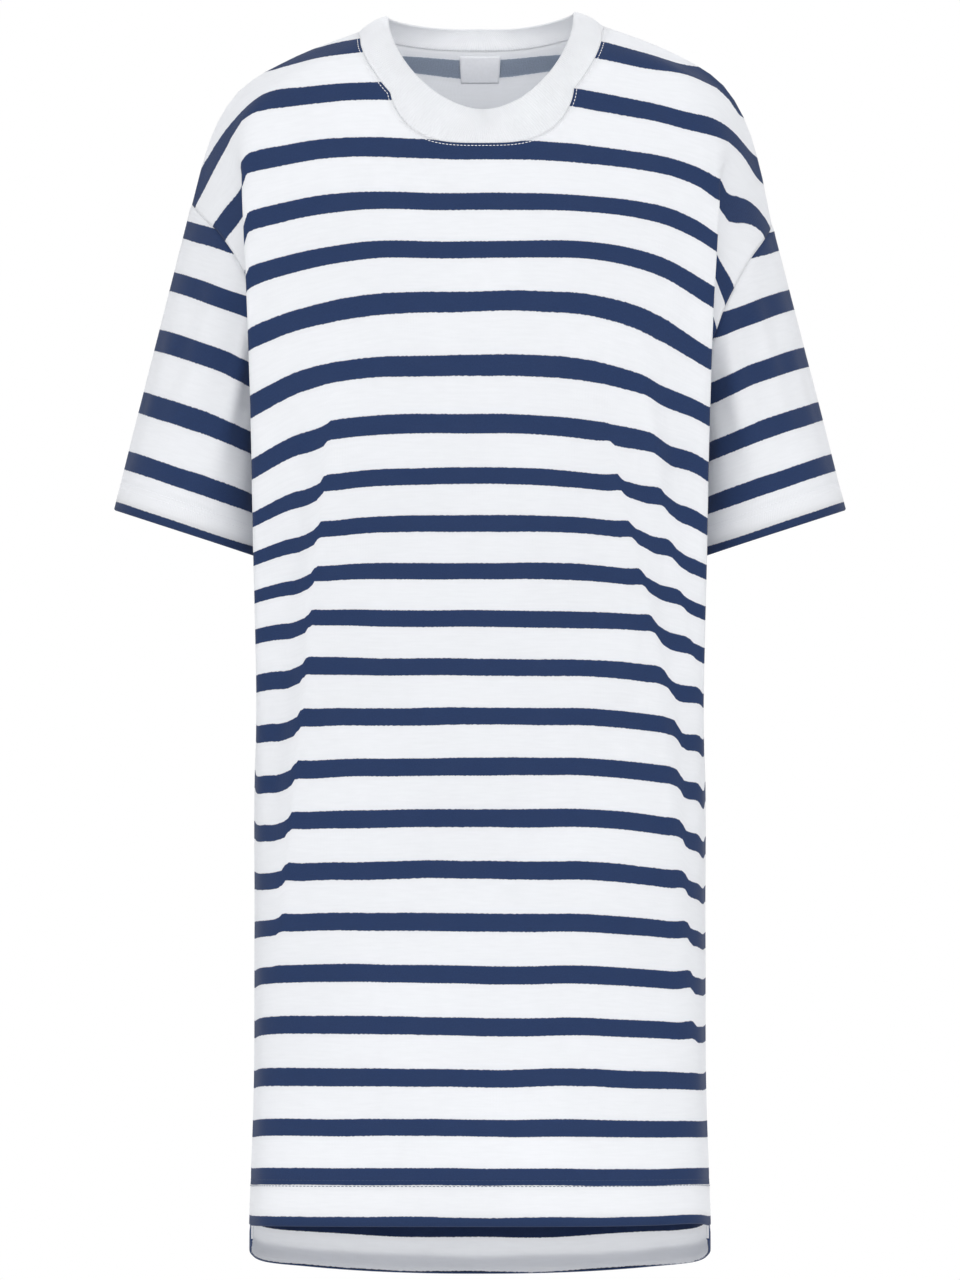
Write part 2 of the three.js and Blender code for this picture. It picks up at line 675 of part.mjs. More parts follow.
// Blank woven label on the inside of the back, just under the neckband
function labelMesh() {
  const gridSteps = 4;
  const rows = [];
  const innerFace = JERSEY_WALL + LABEL.clearance;
  for (let r = 0; r <= gridSteps; r += 1) {
    const row = [];
    for (let c = 0; c <= gridSteps; c += 1) {
      const cloth = -LABEL.top + LABEL.length * (r / gridSteps);
      const flatX = LABEL.width * (c / gridSteps - 0.5);
      row.push(panelPoint(BACK, flatX / halfCut(cloth), cloth));
    }
    rows.push(row);
  }
  const normals = gridNormals(rows, false, 1);
  const outer = rows.map((row, r) => row.map((point, c) => (
    point.clone().addScaledVector(normals[r][c], -innerFace)
  )));
  const wall = wallGeometry(outer, normals, () => LABEL.thickness, false);
  return clothMesh('neck_label', wall, COLOURS.white, TAPE_ROUGHNESS);
}

const front = panelSurface(FRONT);
const back = panelSurface(BACK);
const left = sleeveSurface(front, back, -1);
const right = sleeveSurface(front, back, 1);

const nightshirt = new THREE.Group();
nightshirt.add(panelMesh('front_panel', front, [left, right]));
nightshirt.add(panelMesh('back_panel', back, [left, right]));
nightshirt.add(sleeveMesh('sleeve_left', left));
nightshirt.add(sleeveMesh('sleeve_right', right));
nightshirt.add(neckbandMesh(front, back));
nightshirt.add(labelMesh());
nightshirt.position.z = HELD_DROP;

export default nightshirt;
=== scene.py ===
# Striped jersey nightshirt in its worn form, hollow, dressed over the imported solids.
# Cut sizes and sections are in millimetres, as the pieces are cut and hung, and every vertex goes
# into the frame in metres. "cloth" is the distance down the cloth from the neck point, and "across"
# runs from 0 at the centre line to 1 at the seam on either side.

import math

import bpy
import numpy as np
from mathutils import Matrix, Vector


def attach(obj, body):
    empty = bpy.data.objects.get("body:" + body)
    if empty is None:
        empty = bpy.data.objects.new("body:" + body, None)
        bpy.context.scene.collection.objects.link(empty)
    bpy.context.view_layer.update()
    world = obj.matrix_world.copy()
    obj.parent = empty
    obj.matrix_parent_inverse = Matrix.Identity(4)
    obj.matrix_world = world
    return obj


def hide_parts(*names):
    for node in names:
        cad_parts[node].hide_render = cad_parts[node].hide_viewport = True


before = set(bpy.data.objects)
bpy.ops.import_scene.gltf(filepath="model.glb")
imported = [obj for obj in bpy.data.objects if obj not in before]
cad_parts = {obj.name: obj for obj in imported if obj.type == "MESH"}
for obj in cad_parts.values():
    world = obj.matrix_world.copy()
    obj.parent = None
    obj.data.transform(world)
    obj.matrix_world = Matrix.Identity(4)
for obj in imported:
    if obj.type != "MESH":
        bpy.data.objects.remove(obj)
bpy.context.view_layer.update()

# Cut and form, the same as the solids
MM = 0.001
HELD_DROP = 25.0
SHOULDER_CLOTH = 61.0
UNDERARM_CLOTH = 290.0
FRONT_HEM_CLOTH = 966.0
BACK_HEM_CLOTH = 980.0
BACK_HEM_DIP = 33.0
HEM_CURVE = 2.6
BACK_CUT_LENGTH = 991.0
NECK_HALF_WIDTH = 96.4
NECK_FRONT_DROP = 97.0
NECK_BACK_DROP = 27.0
BAND_INNER = {
    "half_width": 75.0,
    "front_shift": 2.4,
    "front_z": -74.0,
    "back_z": -9.0,
    "front_y": -57.0,
    "back_y": 60.0,
    "side_z": 1.5,
    "roundness": 1.85,
    "fall": 1.25,
    "flare": 0.9,
}
CUFF = {"x": 233.5, "z": -413.5, "half_width": 63.0, "half_depth": 57.0, "tilt": 18.0, "round": 2.2}
RIGHT_LIFT = {"start": 20, "stop": 110, "bottom": -260, "top": -120, "out": 1.5, "up": 5.0}
SLEEVE_BOW = 7.0
UNDERARM_HALF_CUT = 258.0
SHOULDER_HALF_CUT = 290.0
CUFF_GIRTH = 370.0
ARMHOLE_MIDDLE = (197.0, 0.0, -226.0)
NECK_LEAN = {"x": 0.25, "y": 1.0, "up": 32.0}
LABEL = {"width": 33.0, "top": 31.0, "length": 24.0, "tape": 0.5, "off": 1.7, "bow": 0.5, "steps": 14}

# Cloth and sewing
JERSEY = 1.0
RIB = 1.9
HEM_TURN_UP = 40.0
TURNED_EDGE = 3.0
HEM_BEND = 0.5
CUFF_TURN_UP = 24.0
SEAM_SET_BACK = 0.05
NECK_PINCH = 0.15
BAND_SWELL = 1.6
STRIPE_PITCH = 41.14
STRIPE_WIDTH = 14.3
SHOW_THROUGH = 0.4
FRONT_STRIPE = 19.9
BACK_STRIPE = -2.4

# Where the middles of a sleeve's stripes come, from past the fold of the cuff up to the armhole
SLEEVE_STRIPES = {
    -1: (-42, -1.3, 40, 88, 140, 188, 231, 272),
    1: (-42, -1.3, 38.5, 81, 126, 173, 222, 266),
}

# Stitches, with the distances of their rows from a seam or from the edge of what is turned up
NECK_STITCH = {"rows": (2.2,), "length": 2.2, "radius": 0.28, "spacing": 2.9}
HEM_STITCH = {"rows": (2.0, 7.0), "length": 2.4, "radius": 0.26, "spacing": 3.2}
CUFF_STITCH = {"rows": (2.0, 6.5), "length": 2.4, "radius": 0.25, "spacing": 3.2}

# Studio, in metres and watts: name, place, size and power of each lamp
LAMPS = (
    ("front", (0.1, -4.6, 0.3), 4.6, 57.0),
    ("right", (2.8, -3.0, 0.8), 3.2, 24.0),
    ("left", (-2.9, -2.8, 0.6), 3.2, 24.0),
    ("top", (0.0, 0.6, 2.6), 2.6, 12.0),
    ("rear", (0.6, 3.6, 0.8), 3.0, 38.0),
)
LAMPS_AIM = (0, 0, -0.45)
FILL_LIGHT = ((0.994, 0.995, 1.0), 0.965)
FLOOR = {"z": -1.48, "half": 2.6, "fade": (0.9, 2.5)}

# Mesh densities
HALF_COLUMNS = 88
SHOULDER_ROWS = 15
ARMHOLE_ROWS = 54
BODY_ROWS = 140
SLEEVE_ROWS = 76
BAND_ROWS = 16


def table(names, *rows):
    """Columns by name, from rows of numbers."""
    values = np.array(rows, float)
    return {name: values[:, i] for i, name in enumerate(names.split())}


SHOULDER_SEAM = table(
    "cloth x y z",
    (0, 96.4, 0, -11),
    (18, 154, 0, -34),
    (32, 193, 0, -58),
    (41, 211, 0, -84),
    (50, 221.5, 0, -112),
    (61, 231.5, 0, -150),
)
ARMHOLE_SEAM = table(
    "cloth x y z",
    (61, 231.5, 0, -150),
    (82, 223, 25, -160),
    (103, 209, 46, -174),
    (144, 187, 66, -209),
    (185, 180, 68, -241),
    (227, 174, 55, -271),
    (268, 167.5, 26, -297),
    (290, 165, 0, -303),
)
SIDE_SEAM = table(
    "cloth x y z",
    (290, 165, 0, -303),
    (312, 157, 0, -329),
    (350, 155, 0, -374),
    (410, 157, 0, -432),
    (473, 166, 0, -490),
    (560, 177.5, 0, -569),
    (720, 180, 0, -729),
    (846, 180.5, 0, -852),
    (966, 184, 0, -966),
    (1030, 184, 0, -1027),
)

# On the right side the armhole seam hangs further out and down
RIGHT_SEAM_SHIFT = table(
    "cloth out up",
    (0, 0, 0),
    (32, 0, 0),
    (41, 0, -2),
    (50, 1, -9),
    (61, 2, -20),
    (82, 4, -22),
    (103, 7, -23),
    (144, 11, -20),
    (185, 8, -14),
    (227, 4, -8),
    (268, 1, -3),
    (290, 0, 0),
    (312, 0, 0),
    (1030, 0, 0),
)

SECTION_COLUMNS = "cloth z y fold_x fold_y drop_l drop_r behind_x behind_y behind_drop"
FRONT_SECTIONS = table(
    SECTION_COLUMNS,
    (0, -1, -14, 70, -7, 3, 3, 82, -4, 6),
    (20, -21, -36, 116, -22, 5, 5, 137, -12, 9),
    (41, -41, -50, 158, -36, 8, 8, 186, -22, 22),
    (61, -61, -60, 184, -47, 13, 22, 205, -30, 41),
    (103, -108, -75, 189, -70, 16, 33, 189, -59, 33),
    (144, -149.5, -90, 188, -82, 21, 35, 183, -73, 40),
    (185, -188, -100, 186, -90, 24, 38, 181, -79, 38),
    (227, -230.2, -108, 184, -95, 30, 43, 180, -79, 36),
    (268, -281.4, -114, 183, -96, 32, 41, 174, -73, 28),
    (330, -349.6, -115, 182, -93, 31, 35, 166, -62, 22),
    (391, -407.3, -113, 181, -88, 22, 28, 166, -55, 18),
    (473, -483, -110, 179, -82, 9, 20, 171, -49, 12),
    (560, -565.2, -109, 176, -75, 8, 14, 179, -40, 9),
    (720, -725.6, -110, 173, -72, 3, 9, 180, -37, 6),
    (846, -852.8, -113, 173, -74, 0, 3, 180.5, -38, 2),
    (966, -967, -117, 174, -77, 0, -2, 184, -40, 0),
)
BACK_SECTIONS = table(
    SECTION_COLUMNS,
    (0, -1, 30, 70, 16, 3, 3, 82, 8, 6),
    (20, -20, 52, 116, 34, 5, 5, 137, 20, 9),
    (41, -38, 65, 158, 48, 8, 8, 186, 28, 22),
    (61, -57, 75, 184, 56, 16, 14, 207, 34, 44),
    (103, -98, 90, 188, 76, 26, 22, 193, 62, 42),
    (144, -139, 99, 186, 86, 34, 30, 186, 76, 50),
    (185, -180, 104, 184, 90, 38, 34, 183, 80, 46),
    (227, -222, 106, 182, 92, 42, 38, 179, 78, 42),
    (268, -263, 106, 181, 91, 44, 40, 173, 72, 39),
    (330, -325, 105, 180, 87, 42, 38, 166, 62, 36),
    (391, -386, 103, 179, 82, 36, 32, 166, 55, 32),
    (473, -468, 102, 177, 77, 27, 25, 171, 48, 25),
    (560, -555, 103, 174, 71, 17, 18, 179, 38, 17),
    (720, -716, 107, 173, 70, 12, 13, 180, 36, 14),
    (846, -842, 111, 173, 72, 8, 8, 180.5, 37, 10),
    (966, -962, 115, 174, 76, 4, 4, 184, 39, 5),
    (1030, -1025, 117, 174, 77, 3, 3, 184, 40, 3),
)

FOLD_COLUMNS = "x foot top bottom bend depth drop width"
FRONT_FOLDS = table(
    FOLD_COLUMNS,
    (-122, -168, -320, -790, 0.85, 7, 6, 13),
    (131, 178, -265, -545, 1.1, 7, 7, 12),
    (110, 174, -355, -820, 0.6, 6, 6, 13),
)
BACK_FOLDS = table(
    FOLD_COLUMNS,
    (-118, -166, -240, -700, 0.8, 6, 5, 15),
    (104, 160, -290, -780, 0.7, 7, 5, 15),
)
FOLD_FADE = 90.0
FOLD_RIDGE = 0.35
STATIONS = np.array([-0.35, 0.0, 0.35, 0.57, 0.72, 0.84, 1.0])
FOLD_ACROSS, BEHIND_ACROSS = 0.72, 0.84

# Shares of the fold's place, of the turn towards it and of its drop, at the stations up to it
FOLD_SHARES = table(
    "x turn drop",
    (-0.49, 0.1, 0.05),
    (0, 0, 0),
    (0.49, 0.1, 0.05),
    (0.8, 0.42, 0.42),
    (1, 1, 1),
)

# Small soft creases of the cloth, finer than the folds of the solids. Each runs from (x, z) to
# (x, z) in the front view, as a trough of some depth and width, on the front or the back.
CREASES = table(
    "side x0 z0 x1 z1 depth width",
    (-1, -129, -350, -161, -700, 1.7, 8),
    (-1, 112, -350, 160, -605, 1.7, 8),
    (-1, 160, -600, 171, -800, 1.3, 7),
    (-1, 148, -376, 178, -550, 1.4, 6),
    (-1, -176, -128, -150, -215, 1.6, 9),
    (-1, -182, -150, -168, -262, 1.9, 8),
    (-1, 178, -150, 150, -232, 1.7, 10),
    (-1, 180, -185, 160, -300, 2.0, 9),
    (-1, -172, -290, -128, -392, 1.5, 11),
    (-1, 172, -320, 140, -425, 1.4, 10),
    (-1, -150, -430, -92, -545, 1.1, 14),
    (-1, 148, -470, 108, -590, 1.2, 13),
    (-1, -60, -560, -72, -780, 0.9, 20),
    (-1, 52, -610, 66, -860, 0.9, 22),
    (-1, -118, -690, -126, -905, 1.2, 17),
    (-1, 120, -720, 132, -930, 1.1, 16),
    (-1, -20, -250, 60, -292, 0.8, 16),
    (-1, 8, -720, 4, -900, 0.7, 22),
    (-1, -90, -118, -128, -160, 0.9, 12),
    (-1, 84, -120, 126, -172, 1.0, 12),
    (1, -150, -150, -120, -290, 1.9, 11),
    (1, 150, -165, 112, -330, 2.0, 12),
    (1, -40, -110, 42, -122, 1.0, 11),
    (1, -96, -380, -64, -560, 1.4, 17),
    (1, 100, -420, 74, -610, 1.5, 16),
    (1, -130, -600, -120, -860, 1.4, 18),
    (1, 128, -640, 118, -900, 1.3, 18),
    (1, -30, -640, -36, -930, 1.1, 22),
    (1, 40, -700, 44, -960, 1.1, 22),
    (1, -170, -330, -140, -470, 1.6, 10),
    (1, 170, -340, 142, -480, 1.5, 10),
)

# Where the stripes hang lower or higher than the cut has them: a soft patch about (x, z)
SWAYS = table(
    "side x z down width height",
    (-1, 140, -45, 14, 70, 50),
    (-1, 110, -125, 6, 60, 50),
    (-1, 172, -80, 4, 25, 25),
    (-1, -130, -110, -4, 70, 60),
    (-1, -110, -245, 3, 60, 35),
    (-1, 135, -270, 4.5, 50, 45),
    (-1, 100, -350, 4, 50, 45),
    (-1, 178, -355, -9, 22, 60),
    (-1, -130, -500, -3, 50, 60),
    (-1, 136, -487, -3, 40, 30),
    (-1, -110, -800, -2.5, 70, 60),
    (-1, 212, -76, 12, 16, 20),
    (-1, 150, -28, 4, 40, 16),
    (-1, 236, -178, -32, 34, 50),
    (-1, 194, -158, 6, 12, 40),
    (-1, 180.5, -660, 14, 4, 110),
    (-1, -182, -640, 1.5, 6, 100),
    (1, 0, -62, 6, 46, 40),
)

# Lines where a fold breaks the stripes: they stand higher by "ahead" just before the line, on the
# side of the centre, and hang lower by "down" past it, over "width"
SLIPS = table(
    "side x0 z0 x1 z1 down ahead width",
    (-1, -123, -345, -158, -700, 4, 1.5, 16),
    (-1, 106, -345, 157, -560, 3, 2.4, 20),
    (-1, 157, -560, 171, -800, 2.4, 3, 14),
    (-1, 143, -366, 178, -550, 2.2, 1, 13),
    (-1, 194, -120, 197, -172, 2, 0, 22),
    (-1, -188, -120, -186, -200, 5, 1, 14),
)

SLIP_EDGE = (-1.5, 2.5)
SLIP_AHEAD_WIDTH = 9.0

# Creases of a sleeve: round places as a share of a turn from the top towards the front, from one
# share of the way down to another
SLEEVE_CREASES = table(
    "round0 down0 round1 down1 depth width",
    (0.13, 0.02, 0.10, 0.75, 2.2, 0.028),
    (0.24, 0, 0.20, 0.92, 2.6, 0.032),
    (0.33, 0.04, 0.31, 0.7, 2, 0.03),
    (0.05, 0.3, 0.03, 1, 1.4, 0.03),
    (0.44, 0.1, 0.42, 0.9, 2.2, 0.03),
    (0.58, 0.05, 0.6, 0.8, 2.2, 0.03),
    (0.72, 0, 0.76, 0.95, 2.6, 0.035),
    (0.86, 0.05, 0.9, 0.7, 1.9, 0.03),
    (0.95, 0.35, 0.97, 1, 1.3, 0.03),
)


def each(rows, side=None):
    """Number and values of each row of a table, or of those on one side."""
    for i, values in enumerate(zip(*rows.values())):
        row = dict(zip(rows, values))
        if side is None or row["side"] == side:
            yield i, row


def hermite(keys, values, at):
    """Values at the keys, each a number or an array like at, followed by the cubic with mean
    slopes."""
    at = np.asarray(at, float)
    values = np.array([np.broadcast_to(v, at.shape) for v in values])
    last = len(keys) - 1
    i = np.clip(np.searchsorted(keys, at, side="left") - 1, 0, last - 1)
    slopes = np.diff(values, axis=0) / np.diff(keys).reshape((-1,) + (1,) * at.ndim)

    def pick(stack, index):
        return np.take_along_axis(stack, index[None], axis=0)[0]

    here = pick(slopes, i)
    before = np.where(i > 0, (pick(slopes, np.maximum(i - 1, 0)) + here) / 2, here)
    after = np.where(i + 1 < last, (pick(slopes, np.minimum(i + 1, last - 1)) + here) / 2, here)
    span = keys[i + 1] - keys[i]
    t = (at - keys[i]) / span
    start, end = pick(values, i), pick(values, i + 1)
    value = (2 * t**3 - 3 * t**2 + 1) * start + (3 * t**2 - 2 * t**3) * end
    return value + span * ((t**3 - 2 * t**2 + t) * before + (t**3 - t**2) * after)


def along(rows, cloth, column):
    return hermite(rows["cloth"], rows[column], cloth)


def smooth_step(low, high, value):
    t = np.clip((value - low) / (high - low), 0, 1)
    return t * t * (3 - 2 * t)


def bell(off, width=1.0):
    """Smooth bump, 1 in the middle and next to nothing past two widths."""
    return np.exp(-((off / width) ** 2))


def unit(v):
    return v / np.maximum(np.linalg.norm(v, axis=-1, keepdims=True), 1e-9)


def run_down(points):
    """Distance down each column of a grid from its first row."""
    steps = np.linalg.norm(np.diff(points, axis=0), axis=2)
    return np.vstack([np.zeros(points.shape[1]), np.cumsum(steps, axis=0)])


# Form


def lift_right(points):
    """The right shoulder sits a little higher and wider than the left."""
    share = smooth_step(RIGHT_LIFT["start"], RIGHT_LIFT["stop"], points[..., 0])
    share = share * smooth_step(RIGHT_LIFT["bottom"], RIGHT_LIFT["top"], points[..., 2])
    return points + share[..., None] * np.array([RIGHT_LIFT["out"], 0, RIGHT_LIFT["up"]])


def seam_place(cloth, hand):
    """Where a panel's outer seam lies, with x away from the centre and y towards the panel."""
    place = {}
    for axis in "xyz":
        armhole, side = along(ARMHOLE_SEAM, cloth, axis), along(SIDE_SEAM, cloth, axis)
        lower = np.where(cloth <= UNDERARM_CLOTH, armhole, side)
        place[axis] = np.where(cloth <= SHOULDER_CLOTH, along(SHOULDER_SEAM, cloth, axis), lower)
    right = np.where(hand > 0, 1.0, 0.0)
    place["x"] = place["x"] + right * along(RIGHT_SEAM_SHIFT, cloth, "out")
    place["z"] = place["z"] + right * along(RIGHT_SEAM_SHIFT, cloth, "up")
    return place


def fold_relief(folds, x, z):
    """Depth and fall of the cloth at the main folds."""
    depth, drop = np.zeros_like(x), np.zeros_like(x)
    for _, fold in each(folds):
        top, bottom, width = fold["top"], fold["bottom"], fold["width"]
        way = np.clip((top - z) / (top - bottom), 0, 1)
        line_x = fold["x"] + (fold["foot"] - fold["x"]) * way ** fold["bend"]
        outside = (x - line_x) * np.sign(fold["x"])
        starts = smooth_step(top + FOLD_FADE / 2, top - FOLD_FADE, z)
        ends = smooth_step(bottom, bottom + 2 * FOLD_FADE, z)
        past = smooth_step(-width / 2, width, outside)
        regain = 1 - smooth_step(width, 4 * width, outside)
        hollow = past * regain - FOLD_RIDGE * bell(outside, width)
        depth += starts * ends * fold["depth"] * hollow
        drop += starts * ends * fold["drop"] * past
    return depth, drop


def crease_relief(side, x, z):
    """Depth of the soft creases, as wavering troughs with a low lip on their outer side."""
    depth = np.zeros_like(x)
    for i, crease in each(CREASES, side):
        run_x, run_z = crease["x1"] - crease["x0"], crease["z1"] - crease["z0"]
        from_x, from_z = x - crease["x0"], z - crease["z0"]
        length = math.hypot(run_x, run_z)
        t = (from_x * run_x + from_z * run_z) / length**2
        aside = (from_x * run_z - from_z * run_x) / length
        off = (aside + 0.03 * length * np.sin(2.2 * np.pi * t + i)) / crease["width"]
        fade = bell(np.clip(np.abs(t - 0.5) - 0.22, 0, None), 0.2)
        depth += crease["depth"] * fade * (bell(off) - 0.55 * bell(off - 1.9))
    return depth


PANELS = {
    "front": {
        "sections": FRONT_SECTIONS,
        "folds": FRONT_FOLDS,
        "facing": -1,
        "neck_drop": NECK_FRONT_DROP,
        "neck_round": (3.1, 3.55),
        "hem": FRONT_HEM_CLOTH,
        "dip": 0.0,
        "cut": FRONT_HEM_CLOTH,
        "stripe": FRONT_STRIPE,
    },
    "back": {
        "sections": BACK_SECTIONS,
        "folds": BACK_FOLDS,
        "facing": 1,
        "neck_drop": NECK_BACK_DROP,
        "neck_round": (2.4, 2.4),
        "hem": BACK_HEM_CLOTH,
        "dip": BACK_HEM_DIP,
        "cut": BACK_CUT_LENGTH,
        "stripe": BACK_STRIPE,
    },
}


def panel_points(panel, across, cloth):
    """Places on the outer face of a panel, for arrays of across and cloth."""
    way, out = panel["facing"], np.abs(across)
    at = {name: along(panel["sections"], cloth, name) for name in SECTION_COLUMNS.split()[1:]}
    fold_drop = np.where(across < 0, at["drop_l"], at["drop_r"])
    seam = seam_place(cloth, across)
    x = [share * at["fold_x"] for share in FOLD_SHARES["x"]] + [at["behind_x"], seam["x"]]
    y = [at["y"] + share * (at["fold_y"] - at["y"]) for share in FOLD_SHARES["turn"]]
    y += [at["behind_y"], seam["y"] * way]
    drop = [share * fold_drop for share in FOLD_SHARES["drop"]]
    drop += [at["behind_drop"], at["z"] - seam["z"]]
    px = np.where(across < 0, -1, 1) * hermite(STATIONS, x, out)
    py = hermite(STATIONS, y, out)
    pz = at["z"] - hermite(STATIONS, drop, out)
    free = 1 - smooth_step(FOLD_ACROSS, BEHIND_ACROSS, out)
    depth, fall = fold_relief(panel["folds"], px, pz)
    depth = depth + crease_relief(way, px, pz)
    return lift_right(np.stack([px, py - way * free * depth, pz - free * fall], axis=-1))


def half_cut(cloth):
    """Flat width of a panel at a row of cloth, from the centre line to its seam."""
    shoulder = NECK_HALF_WIDTH + (SHOULDER_HALF_CUT - NECK_HALF_WIDTH) * cloth / SHOULDER_CLOTH
    share = (cloth - SHOULDER_CLOTH) / (UNDERARM_CLOTH - SHOULDER_CLOTH)
    armhole = SHOULDER_HALF_CUT + (UNDERARM_HALF_CUT - SHOULDER_HALF_CUT) * np.clip(share, 0, 1)
    return np.where(cloth <= SHOULDER_CLOTH, shoulder, armhole)


def panel_grid(panel):
    """Flat grid of a panel, from the neckline to the underarm row, then straight to the hem, as
    the arrays across, cloth and cut. cut is the cloth before the hem is drawn down by its dip."""
    columns = np.arange(-HALF_COLUMNS, HALF_COLUMNS + 1) / HALF_COLUMNS
    shoulder = SHOULDER_CLOTH * np.arange(SHOULDER_ROWS) / SHOULDER_ROWS
    armhole = np.linspace(SHOULDER_CLOTH, UNDERARM_CLOTH, ARMHOLE_ROWS + 1)
    seam_cloth = np.concatenate([shoulder, armhole])[:, None]
    out = np.abs(columns)[None, :]
    angle = out * math.pi / 2
    power = 2 / np.where(columns[None, :] < 0, *panel["neck_round"])
    neck_x = NECK_HALF_WIDTH * np.sin(angle) ** power
    neck_cloth = panel["neck_drop"] * np.clip(np.cos(angle), 0, 1) ** power
    share = seam_cloth / UNDERARM_CLOTH
    flat_cloth = neck_cloth + (UNDERARM_CLOTH - neck_cloth) * share
    flat_x = out * half_cut(seam_cloth) + (neck_x - out * NECK_HALF_WIDTH) * (1 - share) ** 2
    cloth = flat_cloth + (seam_cloth - flat_cloth) * out**3
    across = np.sign(columns) * np.minimum(1, flat_x / half_cut(cloth))
    across[:, 0], across[:, -1] = -1, 1
    steps = np.arange(1, BODY_ROWS + 1)[:, None] / BODY_ROWS
    hem = panel["hem"] + panel["dip"] * (1 - out**HEM_CURVE)
    lower_cloth = UNDERARM_CLOTH + (hem - UNDERARM_CLOTH) * steps
    lower_cut = UNDERARM_CLOTH + (panel["cut"] - UNDERARM_CLOTH) * steps + 0 * out
    lower_across = np.broadcast_to(columns, lower_cut.shape)
    upper = (across, cloth, cloth)
    return [np.vstack(pair) for pair in zip(upper, (lower_across, lower_cloth, lower_cut))]


def grid_normals(points, closed, way):
    """Outward directions over a grid, from its neighbours."""
    if closed:
        aside = np.roll(points, -1, axis=1) - np.roll(points, 1, axis=1)
    else:
        aside = np.gradient(points, axis=1)
    return unit(np.cross(aside, np.gradient(points, axis=0)) * way)


def square_to(way, *axes):
    """The part of each direction that is square to all the axes."""
    for axis in axes:
        way = way - np.sum(way * axis, axis=-1, keepdims=True) * axis
    return unit(way)


def back_from_seam(edge, inner, normal, tangent):
    """Moves edge points back from their seam, across the wall's own direction."""
    return edge + square_to(inner - edge, tangent, normal) * SEAM_SET_BACK


def ring_tangents(ring):
    return unit(np.roll(ring, -1, axis=0) - np.roll(ring, 1, axis=0))


def armhole_normals(ring, panel_side, sleeve_side):
    """Outward directions halfway between the panel's wall and the sleeve's."""
    tangent = ring_tangents(ring)
    across = square_to(sleeve_side - ring, tangent) - square_to(panel_side - ring, tangent)
    normal = unit(np.cross(tangent, across))
    middle = np.array(ARMHOLE_MIDDLE) * (np.sign(ring[0, 0]), 1, 1)
    away = np.sum(normal * (ring - middle), axis=-1, keepdims=True)
    return np.where(away < 0, -normal, normal)


def neck_normal(points):
    """Outward direction of the walls at the neckline, which lean away from its middle."""
    return unit(points * (NECK_LEAN["x"], NECK_LEAN["y"], 0) + (0, 0, NECK_LEAN["up"]))


def shoulder_normal(cloth, hand):
    a = seam_place(np.maximum(0, cloth - 2), hand)
    b = seam_place(np.minimum(SHOULDER_CLOTH, cloth + 2), hand)
    run_x, run_z = b["x"] - a["x"], b["z"] - a["z"]
    return unit(np.stack([-run_z * hand, 0 * run_x, run_x], axis=-1))


def panel_surface(key):
    panel = PANELS[key]
    across, cloth, cut = panel_grid(panel)
    exact = panel_points(panel, across, cloth)
    return {"panel": panel, "across": across, "cloth": cloth, "cut": cut, "exact": exact}


def armhole_ring(front, back, hand, inward):
    """Armhole points down the front from the shoulder point and up the back, or the points
    beside them inside the panels."""
    edge = 0 if hand < 0 else -1
    first, last = SHOULDER_ROWS, SHOULDER_ROWS + ARMHOLE_ROWS

    def side(surface):
        exact = surface["exact"]
        if not inward:
            return exact[first : last + 1, edge]
        inner = exact[first : last + 1, edge - hand].copy()
        inner[0], inner[-1] = exact[first - 1, edge], exact[last + 1, edge]
        return inner

    return np.vstack([side(front), side(back)[-2:0:-1]])


def cuff_points(turn, hand):
    tilt = math.radians(CUFF["tilt"])

    def rounded(value):
        return np.sign(value) * np.abs(value) ** (2 / CUFF["round"])

    out = CUFF["half_width"] * rounded(np.cos(turn))
    x = hand * (CUFF["x"] + out * math.cos(tilt))
    y = -CUFF["half_depth"] * rounded(np.sin(turn))
    return np.stack([x, y, CUFF["z"] + out * math.sin(tilt)], axis=-1)


def sleeve_surface(front, back, hand):
    ring = armhole_ring(front, back, hand, False)
    steps = np.linalg.norm(np.roll(ring, -1, axis=0) - ring, axis=1)
    lengths = np.concatenate([[0], np.cumsum(steps)])
    turn = 2 * math.pi * lengths[:-1] / lengths[-1]
    s = (np.arange(SLEEVE_ROWS + 1) / SLEEVE_ROWS)[:, None]
    cuff = cuff_points(turn, hand)
    exact = ring[None] * (1 - s[..., None]) + cuff[None] * s[..., None]
    under = (1 - np.cos(turn)) / 2
    exact[..., 0] += hand * SLEEVE_BOW * under[None] * np.sin(math.pi * np.sqrt(s))
    plain = grid_normals(exact, True, hand)
    exact = exact - plain * sleeve_crease_depth(turn / (2 * math.pi), s, hand)[..., None]
    return {
        "exact": exact,
        "hand": hand,
        "up": np.linalg.norm(ring - cuff, axis=1)[None] * (1 - s),
        "round": lengths[:-1][None] * (1 - s) + CUFF_GIRTH * turn[None] / (2 * math.pi) * s,
        "seam_normals": armhole_normals(ring, armhole_ring(front, back, hand, True), exact[4]),
    }


def sleeve_crease_depth(share, s, hand):
    depth = np.zeros((s.shape[0], share.shape[0]))
    for i, crease in each(SLEEVE_CREASES):
        start, stop = crease["down0"], crease["down1"]
        t = np.clip((s - start) / (stop - start), 0, 1)
        line = crease["round0"] + (crease["round1"] - crease["round0"]) * t
        line = line + 0.012 * hand * math.sin(5.0 * i)
        off = (share[None] - line + 0.5) % 1.0 - 0.5
        off = (off + 0.006 * np.sin(9 * s + i)) / crease["width"]
        fade = smooth_step(start - 0.02, start + 0.22, s)
        fade = fade * (1 - smooth_step(stop - 0.3, stop + 0.05, s))
        depth += crease["depth"] * fade * (bell(off) - 0.5 * bell(off - 1.8))
    return depth


# Materials


